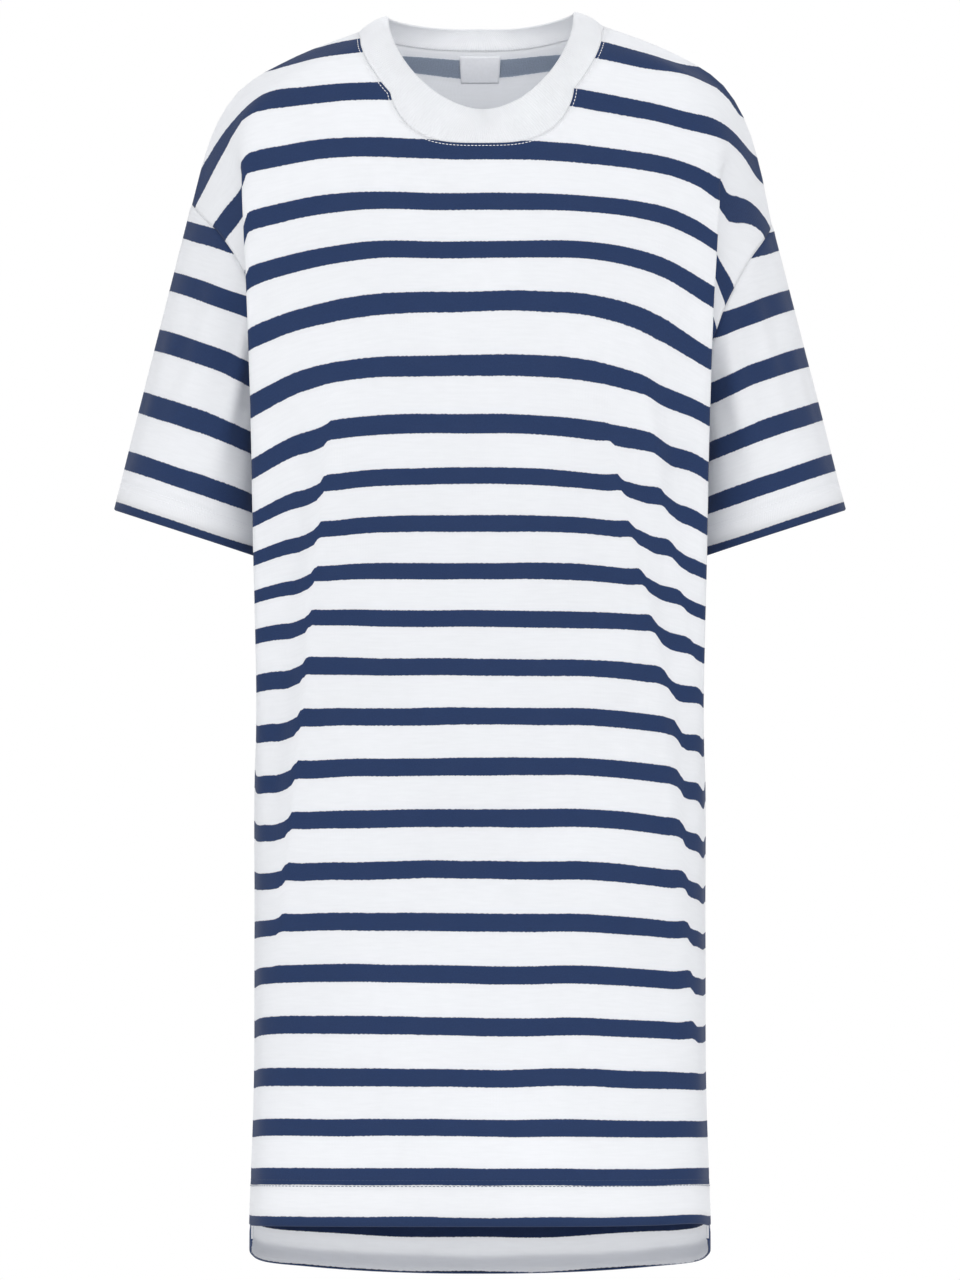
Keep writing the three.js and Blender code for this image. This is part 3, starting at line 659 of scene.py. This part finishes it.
class Nodes:
    """Short ways to add and join the nodes of one material."""

    def __init__(self, name):
        self.material = bpy.data.materials.new(name)
        self.material.use_nodes = True
        self.tree = self.material.node_tree
        self.tree.nodes.clear()

    def add(self, kind, **settings):
        node = self.tree.nodes.new(kind)
        for key, value in settings.items():
            setattr(node, key, value)
        return node

    def join(self, source, target):
        self.tree.links.new(source, target)

    def fill(self, sockets, values):
        """Sets each socket to its number or colour, or joins its source to it."""
        for socket, value in zip(sockets, values):
            if isinstance(value, (int, float)):
                socket.default_value = value
            elif isinstance(value, tuple):
                socket.default_value = (*value, 1.0)
            elif value is not None:
                self.join(value, socket)

    def maths(self, operation, first, second=None):
        node = self.add("ShaderNodeMath", operation=operation)
        self.fill(node.inputs, (first, second))
        return node.outputs[0]

    def wave(self, value, pitch):
        """Sine of a length, with one turn to each pitch."""
        return self.maths("SINE", self.maths("MULTIPLY", value, 2 * math.pi / pitch))

    def noise(self, vector, scale, detail, stretch=(1, 1, 1)):
        mapping = self.add("ShaderNodeMapping")
        mapping.inputs["Scale"].default_value = stretch
        self.join(vector, mapping.inputs["Vector"])
        node = self.add("ShaderNodeTexNoise")
        node.inputs["Scale"].default_value = scale
        node.inputs["Detail"].default_value = detail
        self.join(mapping.outputs[0], node.inputs["Vector"])
        return node.outputs["Fac"]

    def ramp(self, value, low, high, to_low=0.0, to_high=1.0, smooth=False):
        node = self.add("ShaderNodeMapRange")
        node.interpolation_type = "SMOOTHSTEP" if smooth else "LINEAR"
        names = ("Value", "From Min", "From Max", "To Min", "To Max")
        self.fill([node.inputs[name] for name in names], (value, low, high, to_low, to_high))
        return node.outputs["Result"]

    def mottle(self, vector, scale, detail, low, high):
        """Soft uneven patches over a surface, from a low value to a high one."""
        return self.ramp(self.noise(vector, scale, detail), 0.3, 0.7, low, high)

    def mix(self, share, first, second, blend="MIX"):
        node = self.add("ShaderNodeMix", data_type="RGBA", blend_type=blend)
        self.fill([socket for socket in node.inputs if socket.enabled], (share, first, second))
        return [socket for socket in node.outputs if socket.enabled][0]

    def grey(self, value):
        node = self.add("ShaderNodeCombineColor")
        self.fill(node.inputs, (value, value, value))
        return node.outputs[0]

    def shaded(self, colour, tone):
        return self.mix(1.0, colour, self.grey(tone), "MULTIPLY")

    def cloth(self):
        """The flat cut's coordinates, with their two parts: across and down the cloth."""
        uv = self.add("ShaderNodeUVMap", uv_map="cloth").outputs[0]
        split = self.add("ShaderNodeSeparateXYZ")
        self.join(uv, split.inputs[0])
        return uv, split.outputs["X"], split.outputs["Y"]

    def blend(self, share, first, second):
        """Mixes two shaders into the material's output."""
        both = self.add("ShaderNodeMixShader")
        self.fill(both.inputs, (share, first, second))
        self.join(both.outputs[0], self.output.inputs["Surface"])

    def surface(self, colour, height, roughness, bump, sheen):
        shader = self.add("ShaderNodeBsdfPrincipled")
        shader.inputs["Specular IOR Level"].default_value = 0.25
        shader.inputs["Sheen Weight"].default_value = sheen
        shader.inputs["Sheen Roughness"].default_value = 0.5
        self.join(colour, shader.inputs["Base Color"])
        self.join(roughness, shader.inputs["Roughness"])
        bumps = self.add("ShaderNodeBump")
        bumps.inputs["Strength"].default_value = bump
        bumps.inputs["Distance"].default_value = 0.3 * MM
        self.join(height, bumps.inputs["Height"])
        self.join(bumps.outputs[0], shader.inputs["Normal"])
        self.shader, self.output = shader.outputs[0], self.add("ShaderNodeOutputMaterial")
        if sheen:
            through = self.add("ShaderNodeBsdfTranslucent")
            self.join(colour, through.inputs["Color"])
            self.blend(SHOW_THROUGH, self.shader, through.outputs[0])
        else:
            self.join(self.shader, self.output.inputs["Surface"])
        return self.material


def linear(r, g, b):
    """Scene colour from a colour in 0 to 255 as seen."""
    return tuple(((c / 255 + 0.055) / 1.055) ** 2.4 for c in (r, g, b))


WHITE = linear(244, 245, 247)
# Painted light: the inside white is painted lighter than the outside white, to lift the shade inside the
# shirt. The paler navy of the wrong side is the cloth's own
WHITE_INSIDE_PAINTED_LIGHT = linear(249, 250, 252)
NAVY = linear(44, 64, 104)
NAVY_INSIDE = linear(178, 190, 206)
# Painted shade: the navy inside a turned-up hem or cuff is painted darker than NAVY, as the shade that
# falls there
NAVY_TURNED_UP_PAINTED_SHADE = linear(20, 36, 68)
LABEL_WHITE = linear(249, 250, 253)
WHITE_THREAD = linear(238, 238, 242)
NAVY_THREAD = linear(58, 74, 108)

# Lengths of a stitch of each cloth, across and down
WALE, COURSE = 1.25 * MM, 0.95 * MM
RIB_WALE, RIB_COURSE = 2.1 * MM, 0.9 * MM
WARP, WEFT = 0.5 * MM, 0.7 * MM


def knit_height(nodes, u, v):
    """Height of plain knitting: a row of small V stitches for each wale and course."""
    rib = nodes.maths("ABSOLUTE", nodes.wave(u, 2 * WALE))
    lean = nodes.maths("MULTIPLY", rib, 0.9 * math.pi)
    row = nodes.maths("MULTIPLY", v, 2 * math.pi / COURSE)
    loop = nodes.maths("SINE", nodes.maths("ADD", row, lean))
    return nodes.maths("ADD", rib, nodes.maths("MULTIPLY", loop, 0.45))


def jersey_material(name, white, navy):
    nodes = Nodes(name)
    uv, u, v = nodes.cloth()
    wobble = nodes.mottle(uv, 420, 3, -0.25 * MM, 0.25 * MM)
    drift = nodes.mottle(uv, 14, 1, -0.5 * MM, 0.5 * MM)
    place = nodes.maths("ADD", nodes.maths("ADD", v, wobble), drift)
    turns = nodes.maths("MULTIPLY", place, 1 / (STRIPE_PITCH * MM))
    offset = nodes.maths("FRACT", nodes.maths("ADD", turns, 100.5))
    away = nodes.maths("ABSOLUTE", nodes.maths("SUBTRACT", offset, 0.5))
    half, soft = STRIPE_WIDTH / 2 / STRIPE_PITCH, 0.3 / STRIPE_PITCH
    dyed = nodes.ramp(away, half + soft, half - soft, smooth=True)
    slub = nodes.ramp(nodes.noise(uv, 55, 4, (1, 9, 1)), 0.3, 0.75, 0.976, 1.009)
    tone = nodes.maths("MULTIPLY", slub, nodes.mottle(uv, 9, 2, 0.985, 1.008))
    fleck = nodes.ramp(nodes.noise(uv, 900, 3, (1.4, 1, 1)), 0.3, 0.75, 0.9, 1.14)
    blue = nodes.shaded(navy, nodes.maths("MULTIPLY", tone, fleck))
    colour = nodes.mix(dyed, nodes.shaded(white, tone), blue)
    height = nodes.maths("ADD", knit_height(nodes, u, v), nodes.maths("MULTIPLY", slub, 1.4))
    return nodes.surface(colour, height, nodes.mottle(uv, 30, 2, 0.82, 0.94), 0.35, 0.12)


def rib_material(name):
    nodes = Nodes(name)
    uv, u, v = nodes.cloth()
    rib = nodes.wave(u, RIB_WALE)
    height = nodes.maths("ADD", rib, nodes.maths("MULTIPLY", nodes.wave(v, RIB_COURSE), 0.3))
    # Painted shade: the rib's furrows are painted darker, as the shade in them; the mottle beside it is
    # the yarn's own uneven tone
    furrow_painted_shade = nodes.ramp(rib, -1, -0.2, 0.965, 1.0)
    shade = nodes.maths("MULTIPLY", nodes.mottle(uv, 60, 3, 0.98, 1.01), furrow_painted_shade)
    roughness = nodes.mottle(uv, 40, 2, 0.84, 0.94)
    return nodes.surface(nodes.shaded(WHITE, shade), height, roughness, 0.5, 0.12)


def thread_material(name, colour):
    nodes = Nodes(name)
    where = nodes.add("ShaderNodeTexCoord").outputs["Object"]
    twist = nodes.noise(where, 1600, 2, (1, 1, 3))
    tinted = nodes.shaded(colour, nodes.ramp(twist, 0.3, 0.7, 0.88, 1.08))
    return nodes.surface(tinted, twist, nodes.ramp(twist, 0.2, 0.8, 0.5, 0.7), 0.3, 0.0)


def tape_material(name):
    nodes = Nodes(name)
    uv, u, v = nodes.cloth()
    height = nodes.maths("MULTIPLY", nodes.wave(u, WARP), nodes.wave(v, WEFT))
    tone = nodes.mottle(uv, 300, 2, 0.97, 1.01)
    roughness = nodes.ramp(tone, 0.97, 1.01, 0.5, 0.62)
    return nodes.surface(nodes.shaded(LABEL_WHITE, tone), height, roughness, 0.25, 0.0)


# Shells


def make_piece(name, points, faces, materials):
    """Smooth piece from points in millimetres from the neck point."""
    points[:, 2] += HELD_DROP
    mesh = bpy.data.meshes.new(name)
    mesh.from_pydata(points * MM, [], faces)
    mesh.polygons.foreach_set("use_smooth", np.ones(len(faces), bool))
    for material in materials:
        mesh.materials.append(material)
    mesh.update()
    piece = bpy.data.objects.new(name, mesh)
    bpy.context.collection.objects.link(piece)
    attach(piece, "root")
    return piece


def strip(a, b, flip=False):
    """Quads between two lines of points, or between each two lines of two grids."""
    a0, a1, b0, b1 = a[..., :-1], a[..., 1:], b[..., :-1], b[..., 1:]
    return np.stack((a0, a1, b1, b0) if flip else (a0, b0, b1, a1), axis=-1).reshape(-1, 4)


def shell(name, node, materials, wall, uv, back_uv=None, turned=None, closed=False, rounded=True):
    """Thin closed shell that replaces a node, from a grid of outer points, their normals and the
    thickness there. closed makes a tube of it, and rounded rolls its last row over. turned says
    where the inner face, with back_uv, shows the right side of the cloth, turned up at a hem."""
    outer, normals, thickness = wall
    back_uv = uv if back_uv is None else back_uv
    rows, columns = outer.shape[:2]
    inner = outer - normals * thickness[..., None]
    points = [outer.reshape(-1, 3), inner.reshape(-1, 3)]
    uvs = [uv.reshape(-1, 2), back_uv.reshape(-1, 2)]
    inside = rows * columns
    grid = np.arange(inside).reshape(rows, columns)
    rim = 2 * inside + np.arange(columns)
    if closed:
        grid, rim = np.hstack([grid, grid[:, :1]]), np.append(rim, rim[0])
    first, last, left, right = grid[0], grid[-1], grid[:, 0], grid[:, -1]
    quads = [strip(grid[:-1], grid[1:]), strip(grid[:-1], grid[1:], True) + inside]
    quads.append(strip(first, first + inside, True))
    ends = np.zeros((0, 3), int)
    if rounded:
        down = unit(outer[-1] - outer[-2])
        points.append((outer[-1] + inner[-1]) / 2 + down * thickness[-1][:, None] * 0.5)
        uvs.append(uv[-1])
        quads += [strip(last, rim), strip(rim, last + inside)]
    else:
        quads.append(strip(last, last + inside))
    if not closed:
        quads += [strip(left, left + inside), strip(right, right + inside, True)]
        if rounded:
            a, b = last[0], last[-1]
            ends = np.array([(a, a + inside, rim[0]), (b, rim[-1], b + inside)])
    quads = np.vstack(quads)
    corners = np.concatenate([quads.reshape(-1), ends.reshape(-1)])
    corner_uv = np.vstack(uvs)[corners]
    if closed:
        # The coordinate round a tube is carried on past its last column, so it doesn't jump back
        column = quads % columns
        wraps = (column.max(axis=1) == columns - 1) & (column.min(axis=1) == 0)
        girth = uv[0, :, 0].max() * columns / (columns - 1)
        corner_uv.reshape(-1, 4, 2)[..., 0] += ((column == 0) & wraps[:, None]) * girth
    else:
        sides = slice(4 * (len(quads) - 2 * (rows - 1)), 4 * len(quads))
        corner_uv[sides] = back_uv.reshape(-1, 2)[corners[sides] % inside]
    index = np.zeros(len(quads) + len(ends), np.int32)
    # Turned-up inner faces take the last material, which for the jersey is the copy with painted shade
    # on its navy
    if turned is not None:
        right_side = turned[:-1, : grid.shape[1] - 1].reshape(-1)
        index[len(right_side) : 2 * len(right_side)] = np.where(right_side, len(materials) - 1, 1)
    faces = quads.tolist() + ends.tolist()
    piece = make_piece(name, np.vstack(points), faces, materials)
    piece.data.polygons.foreach_set("material_index", index)
    layer = piece.data.uv_layers.new(name="cloth")
    layer.data.foreach_set("uv", (corner_uv * MM).astype(np.float32).reshape(-1))
    piece.data.validate()
    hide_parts(node)
    return piece


def stripe_sway(side, points):
    """How far the stripes stray along the cloth, where it has been pulled or eased."""
    x, z = points[..., 0], points[..., 2]
    sway = 0.7 * np.sin(x / 47.0 + z / 90.0) * np.sin(x / 29.0 - z / 61.0 + 1.0)
    for _, slip in each(SLIPS, side):
        t = (z - slip["z0"]) / (slip["z1"] - slip["z0"])
        past = (x - slip["x0"] - (slip["x1"] - slip["x0"]) * t) * np.sign(slip["x0"])
        fade = smooth_step(-0.15, 0.1, t) * smooth_step(1.25, 0.95, t)
        near, far = SLIP_EDGE
        step = smooth_step(near, far, past) * bell(np.maximum(past, 0), slip["width"])
        ahead = smooth_step(far, near, past) * bell(np.minimum(past, 0), SLIP_AHEAD_WIDTH)
        sway = sway - fade * (slip["down"] * step - slip["ahead"] * ahead)
    for _, patch in each(SWAYS, side):
        aside = (x - patch["x"]) / patch["width"]
        below = (z - patch["z"]) / patch["height"]
        sway = sway - patch["down"] * np.exp(-(aside**2) - below**2)
    return sway


def hem_thickness(distance, turn_up):
    """Wall thickness by distance above a hem: two layers, then one past the turned-up edge."""
    return JERSEY * (1 + smooth_step(turn_up + 1.5, turn_up - 1.0, distance) * 1.05)


def seam_pinch(distance):
    """How far the outer face sinks beside a sewn seam, in millimetres."""
    return 0.6 * bell(distance, 1.6) - 0.2 * bell(distance - 5.0, 3.0)


def make_panel(key, sleeves, surface, materials):
    panel, across, cloth, cut, exact = (surface[k] for k in ("panel", "across", "cloth", "cut", "exact"))
    normals = grid_normals(exact, False, panel["facing"])
    normals[0] = neck_normal(exact[0])
    first, last = SHOULDER_ROWS, SHOULDER_ROWS + ARMHOLE_ROWS
    for sleeve in sleeves:
        edge = 0 if sleeve["hand"] < 0 else -1
        count = len(sleeve["seam_normals"])
        i = np.arange(ARMHOLE_ROWS + 1)
        order = i if panel["facing"] < 0 else (count - i) % count
        normals[1:first, edge] = shoulder_normal(cloth[1:first, edge], sleeve["hand"])
        normals[first : last + 1, edge] = sleeve["seam_normals"][order]
        normals[last + 1 :, edge] = (sleeve["hand"], 0, 0)
    outer = exact.copy()
    down = unit(np.gradient(exact, axis=0))
    aside = unit(np.gradient(exact, axis=1))
    for edge, beside in ((0, 1), (-1, -2)):
        outer[:, edge] = back_from_seam(
            exact[:, edge], exact[:, beside], normals[:, edge], down[:, edge]
        )
    outer[0] += back_from_seam(exact[0], exact[1], normals[0], aside[0]) - exact[0]
    to_edge = (1 - np.abs(across)) * half_cut(cloth)
    hem_line = panel["cut"] - cut
    sink = seam_pinch(to_edge) + NECK_PINCH * seam_pinch(run_down(exact))
    sink = sink + 0.35 * bell(hem_line - HEM_TURN_UP + 2.0, 1.3)
    outer = outer - normals * sink[..., None]
    # Inside the turned-up hem the jersey copy with painted shade on its navy is used
    turned = hem_line < HEM_TURN_UP + TURNED_EDGE
    stripes = cut - panel["stripe"] + stripe_sway(panel["facing"], exact)
    folded = np.where(turned, stripes + 2 * hem_line + HEM_BEND, stripes)
    face_uv, back_uv = (np.stack([across * half_cut(cloth), v], axis=-1) for v in (stripes, folded))
    wall = (outer, normals, hem_thickness(hem_line, HEM_TURN_UP))
    piece = shell(
        f"{key}_cloth", f"{key}_panel", materials, wall, face_uv, back_uv, turned
    )
    surface["outer"], surface["normals"] = outer, normals


def sleeve_stripes(up, hand):
    """Cloth coordinate of a sleeve, eased as the stripes are."""
    places = np.array(SLEEVE_STRIPES[hand])
    return hermite(places, STRIPE_PITCH * (np.arange(len(places)) - 1.0), up)


def make_sleeve(name, node, sleeve, materials):
    exact, hand, up = sleeve["exact"], sleeve["hand"], sleeve["up"]
    normals = grid_normals(exact, True, hand)
    normals[0] = sleeve["seam_normals"]
    outer = exact.copy()
    outer[0] = back_from_seam(exact[0], exact[4], normals[0], ring_tangents(exact[0]))
    sink = seam_pinch(up[0][None] - up) + 0.3 * bell(up - CUFF_TURN_UP + 2, 1.2)
    outer = outer - normals * sink[..., None]
    # Inside the turned-up cuff the jersey copy with painted shade on its navy is used
    turned = up < CUFF_TURN_UP
    face_uv, back_uv = (
        np.stack([sleeve["round"], sleeve_stripes(v, hand)], axis=-1)
        for v in (up, np.where(turned, -up, up))
    )
    wall = (outer, normals, hem_thickness(up, CUFF_TURN_UP))
    piece = shell(
        name, node, materials, wall, face_uv, back_uv, turned, closed=True
    )
    sleeve["outer"], sleeve["normals"] = outer, normals


def band_inner_points(angle):
    b = BAND_INNER
    towards, side = np.abs(np.cos(angle)), np.sin(angle)
    at_front = np.cos(angle) > 0
    x = b["half_width"] * np.sign(side) * np.abs(side) ** (2 / b["roundness"])
    x = x + np.where(at_front, b["front_shift"] * towards, 0)
    end_z = np.where(at_front, b["front_z"], b["back_z"])
    end_y = np.where(at_front, b["front_y"], b["back_y"])
    z = b["side_z"] + (end_z - b["side_z"]) * towards ** b["fall"]
    return lift_right(np.stack([x, end_y * towards ** b["flare"], z], axis=-1))


def make_neckband(front, back, material):
    """Rib folded double: a soft flat band, rolled over at its free edge."""
    edge = np.vstack([front["exact"][0][:-1], back["exact"][0][::-1][:-1]])
    angle = -math.pi / 2 + 2 * math.pi * np.arange(len(edge)) / len(edge)
    free = band_inner_points(angle)
    s = (np.arange(BAND_ROWS + 1) / BAND_ROWS)[:, None, None]
    exact = edge[None] * (1 - s) + free[None] * s
    exact = exact + neck_normal(edge)[None] * BAND_SWELL * np.sin(math.pi * s)
    normals = grid_normals(exact, True, 1)
    normals[0] = neck_normal(edge)
    outer = exact.copy()
    outer[0] = back_from_seam(edge, exact[1], normals[0], ring_tangents(edge))
    width = np.linalg.norm(free - edge, axis=1)
    from_seam, to_free = s[..., 0] * width[None], (1 - s[..., 0]) * width[None]
    sink = NECK_PINCH * seam_pinch(from_seam) + 0.4 * bell(to_free, 1.2)
    outer = outer - normals * sink[..., None]
    steps = np.linalg.norm(np.roll(edge, -1, axis=0) - edge, axis=1)
    round_uv = np.concatenate([[0], np.cumsum(steps)])[:-1]
    uv = np.stack(np.broadcast_arrays(round_uv[None], from_seam), axis=-1)
    wall = (outer, normals, RIB - 0.7 * bell(from_seam, 1.5))
    piece = shell("neckband_rib", "neckband", [material], wall, uv, closed=True)


def make_label(material):
    step = np.arange(LABEL["steps"] + 1) / LABEL["steps"]
    cloth = LABEL["top"] + LABEL["length"] * step[:, None] + 0 * step[None, :]
    flat_x = LABEL["width"] * (step[None, :] - 0.5)
    surface = panel_points(PANELS["back"], flat_x / half_cut(cloth), cloth)
    normals = grid_normals(surface, False, 1)
    bow = LABEL["bow"] * np.sin(np.pi * step)[:, None, None]
    wall = (surface - normals * (LABEL["off"] + bow), normals, np.full(cloth.shape, LABEL["tape"]))
    uv = np.stack(np.broadcast_arrays(flat_x + LABEL["width"], cloth), axis=-1)
    piece = shell("blank_label", "neck_label", [material], wall, uv, rounded=False)


# Stitching


def path_places(points, normals, spacing):
    """Places at even spacing along a line of points, with the direction and normal at each."""
    steps = np.linalg.norm(np.diff(points, axis=0), axis=1)
    run = np.concatenate([[0], np.cumsum(steps)])
    at = np.arange(spacing, run[-1] - spacing, spacing)

    def read(values, at):
        return np.stack([np.interp(at, run, values[:, k]) for k in range(3)], axis=-1)

    here = read(points, at)
    return here, unit(read(points, at + 0.5) - here), unit(read(normals, at))


def make_stitches(name, lines, stitch, material):
    """Threads as small flattened capsules along lines on the cloth, joined into one mesh."""
    rings, sides = 5, 6
    length, radius = stitch["length"], stitch["radius"]
    t = np.linspace(-1, 1, rings)[:, None, None]
    thick = radius * np.sqrt(1 - t**2 * 0.92)
    turn = 2 * math.pi * np.arange(sides)[:, None] / sides
    grid = np.arange(rings * sides).reshape(rings, sides)
    tube = np.hstack([grid, grid[:, :1]])
    capsule = [*strip(tube[:-1], tube[1:], True), grid[0, ::-1], grid[-1]]
    vertices, faces = [], []
    for points, normals in lines:
        for here, way, up in zip(*path_places(points, normals, stitch["spacing"])):
            round_it = np.cos(turn) * unit(np.cross(way, up)) + 0.7 * np.sin(turn) * up
            faces += [(len(vertices) * grid.size + face).tolist() for face in capsule]
            thread = here + way * length / 2 * t + thick * round_it + up * radius * 0.35
            vertices.append(thread.reshape(-1, 3))
    make_piece(name, np.vstack(vertices), faces, [material])


def line_at(place, at, wall):
    """Line across a wall's grid where at, which grows down each column, has one value."""
    columns = range(at.shape[1])

    def read(values):
        return np.array(
            [[np.interp(place, at[:, c], values[:, c, k]) for k in range(3)] for c in columns]
        )

    return read(wall["outer"]), unit(read(wall["normals"]))


def sew(front, back, sleeves, white, navy):
    neck, hems, cuffs = [], [], []
    for surface in (front, back):
        neck.append(line_at(NECK_STITCH["rows"][0], run_down(surface["outer"]), surface))
        for row in HEM_STITCH["rows"]:
            place = surface["panel"]["cut"] - HEM_TURN_UP + row
            hems.append(line_at(place, surface["cut"], surface))
    for sleeve in sleeves:
        for row in CUFF_STITCH["rows"]:
            ring = line_at(row - CUFF_TURN_UP, -sleeve["up"], sleeve)
            cuffs.append([np.vstack([part, part[:1]]) for part in ring])
    make_stitches("neck_stitches", neck, NECK_STITCH, white)
    make_stitches("hem_stitches", hems, HEM_STITCH, navy)
    make_stitches("cuff_stitches", cuffs, CUFF_STITCH, white)


# Studio


def pale_floor():
    """A plain floor that passes into the pale backdrop with the distance from its middle."""
    nodes = Nodes("pale_floor")
    where = nodes.add("ShaderNodeTexCoord").outputs["Object"]
    tone = nodes.noise(where, 2.0, 1)
    pale = nodes.grey(nodes.ramp(tone, 0.3, 0.7, 0.86, 0.88))
    nodes.surface(pale, tone, nodes.ramp(tone, 0.3, 0.7, 0.8, 0.85), 0.02, 0.0)
    away = nodes.add("ShaderNodeVectorMath", operation="LENGTH")
    nodes.join(where, away.inputs[0])
    clear = nodes.add("ShaderNodeBsdfTransparent").outputs[0]
    nodes.blend(nodes.ramp(away.outputs["Value"], *FLOOR["fade"]), nodes.shader, clear)
    mesh = bpy.data.meshes.new("floor")
    half, z = FLOOR["half"], FLOOR["z"]
    corners = ((-half, -half, z), (half, -half, z), (half, half, z), (-half, half, z))
    mesh.from_pydata(corners, [], [(0, 1, 2, 3)])
    mesh.materials.append(nodes.material)
    floor = bpy.data.objects.new("floor", mesh)
    bpy.context.collection.objects.link(floor)


def backdrop():
    """White where the camera sees past the object, and a soft fill for the light on it."""
    world = bpy.data.worlds.new("studio")
    world.use_nodes = True
    tree = world.node_tree
    tree.nodes.clear()
    mix = tree.nodes.new("ShaderNodeMixShader")
    for i, (colour, strength) in enumerate((FILL_LIGHT, ((1, 1, 1), 1.0))):
        light = tree.nodes.new("ShaderNodeBackground")
        light.inputs["Color"].default_value = (*colour, 1)
        light.inputs["Strength"].default_value = strength
        tree.links.new(light.outputs[0], mix.inputs[i + 1])
    path = tree.nodes.new("ShaderNodeLightPath")
    output = tree.nodes.new("ShaderNodeOutputWorld")
    tree.links.new(path.outputs["Is Camera Ray"], mix.inputs[0])
    tree.links.new(mix.outputs[0], output.inputs["Surface"])
    bpy.context.scene.world = world


def studio():
    view = bpy.context.scene.view_settings
    view.view_transform, view.look = "Standard", "None"
    pale_floor()
    backdrop()
    for name, place, size, power in LAMPS:
        data = bpy.data.lights.new(name, "AREA")
        data.shape, data.size, data.energy = "DISK", size, power
        lamp = bpy.data.objects.new(name, data)
        bpy.context.collection.objects.link(lamp)
        lamp.location = place
        way = Vector(LAMPS_AIM) - Vector(place)
        lamp.rotation_euler = way.to_track_quat("-Z", "Y").to_euler()


def photo_camera():
    """Long lens straight in front, level with the middle of the photo's frame."""
    scale = 0.8 * MM
    photo_height = 1280
    neck_point_row = 16
    distance = 30.0
    front_plane = -0.07
    data = bpy.data.cameras.new("photo_camera")
    data.sensor_fit = "AUTO"
    data.sensor_width = 36.0
    data.lens = data.sensor_width * (distance + front_plane) / (photo_height * scale)
    data.clip_end = 100
    camera = bpy.data.objects.new("photo_camera", data)
    bpy.context.collection.objects.link(camera)
    height = HELD_DROP * MM - (photo_height / 2 - neck_point_row) * scale
    camera.location = (0, -distance, height)
    camera.rotation_euler = (math.pi / 2, 0, 0)
    bpy.context.scene.camera = camera


def main():
    photo_camera()
    jersey = [
        jersey_material("striped_jersey", WHITE, NAVY),
        # Wrong side of the jersey: its own paler navy, with painted light on its white
        jersey_material("striped_jersey_inside_painted_light", WHITE_INSIDE_PAINTED_LIGHT, NAVY_INSIDE),
        # The same jersey with painted shade darkening its navy, for the insides of the turned-up hems
        # and cuffs
        jersey_material("striped_jersey_turned_up_painted_shade", WHITE, NAVY_TURNED_UP_PAINTED_SHADE),
    ]
    white = thread_material("white_thread", WHITE_THREAD)
    navy = thread_material("navy_thread", NAVY_THREAD)
    front, back = panel_surface("front"), panel_surface("back")
    sleeves = [sleeve_surface(front, back, -1), sleeve_surface(front, back, 1)]
    make_panel("front", sleeves, front, jersey)
    make_panel("back", sleeves, back, jersey)
    make_sleeve("left_sleeve_cloth", "sleeve_left", sleeves[0], jersey)
    make_sleeve("right_sleeve_cloth", "sleeve_right", sleeves[1], jersey)
    make_neckband(front, back, rib_material("white_rib"))
    make_label(tape_material("label_tape"))
    sew(front, back, sleeves, white, navy)
    studio()


main()
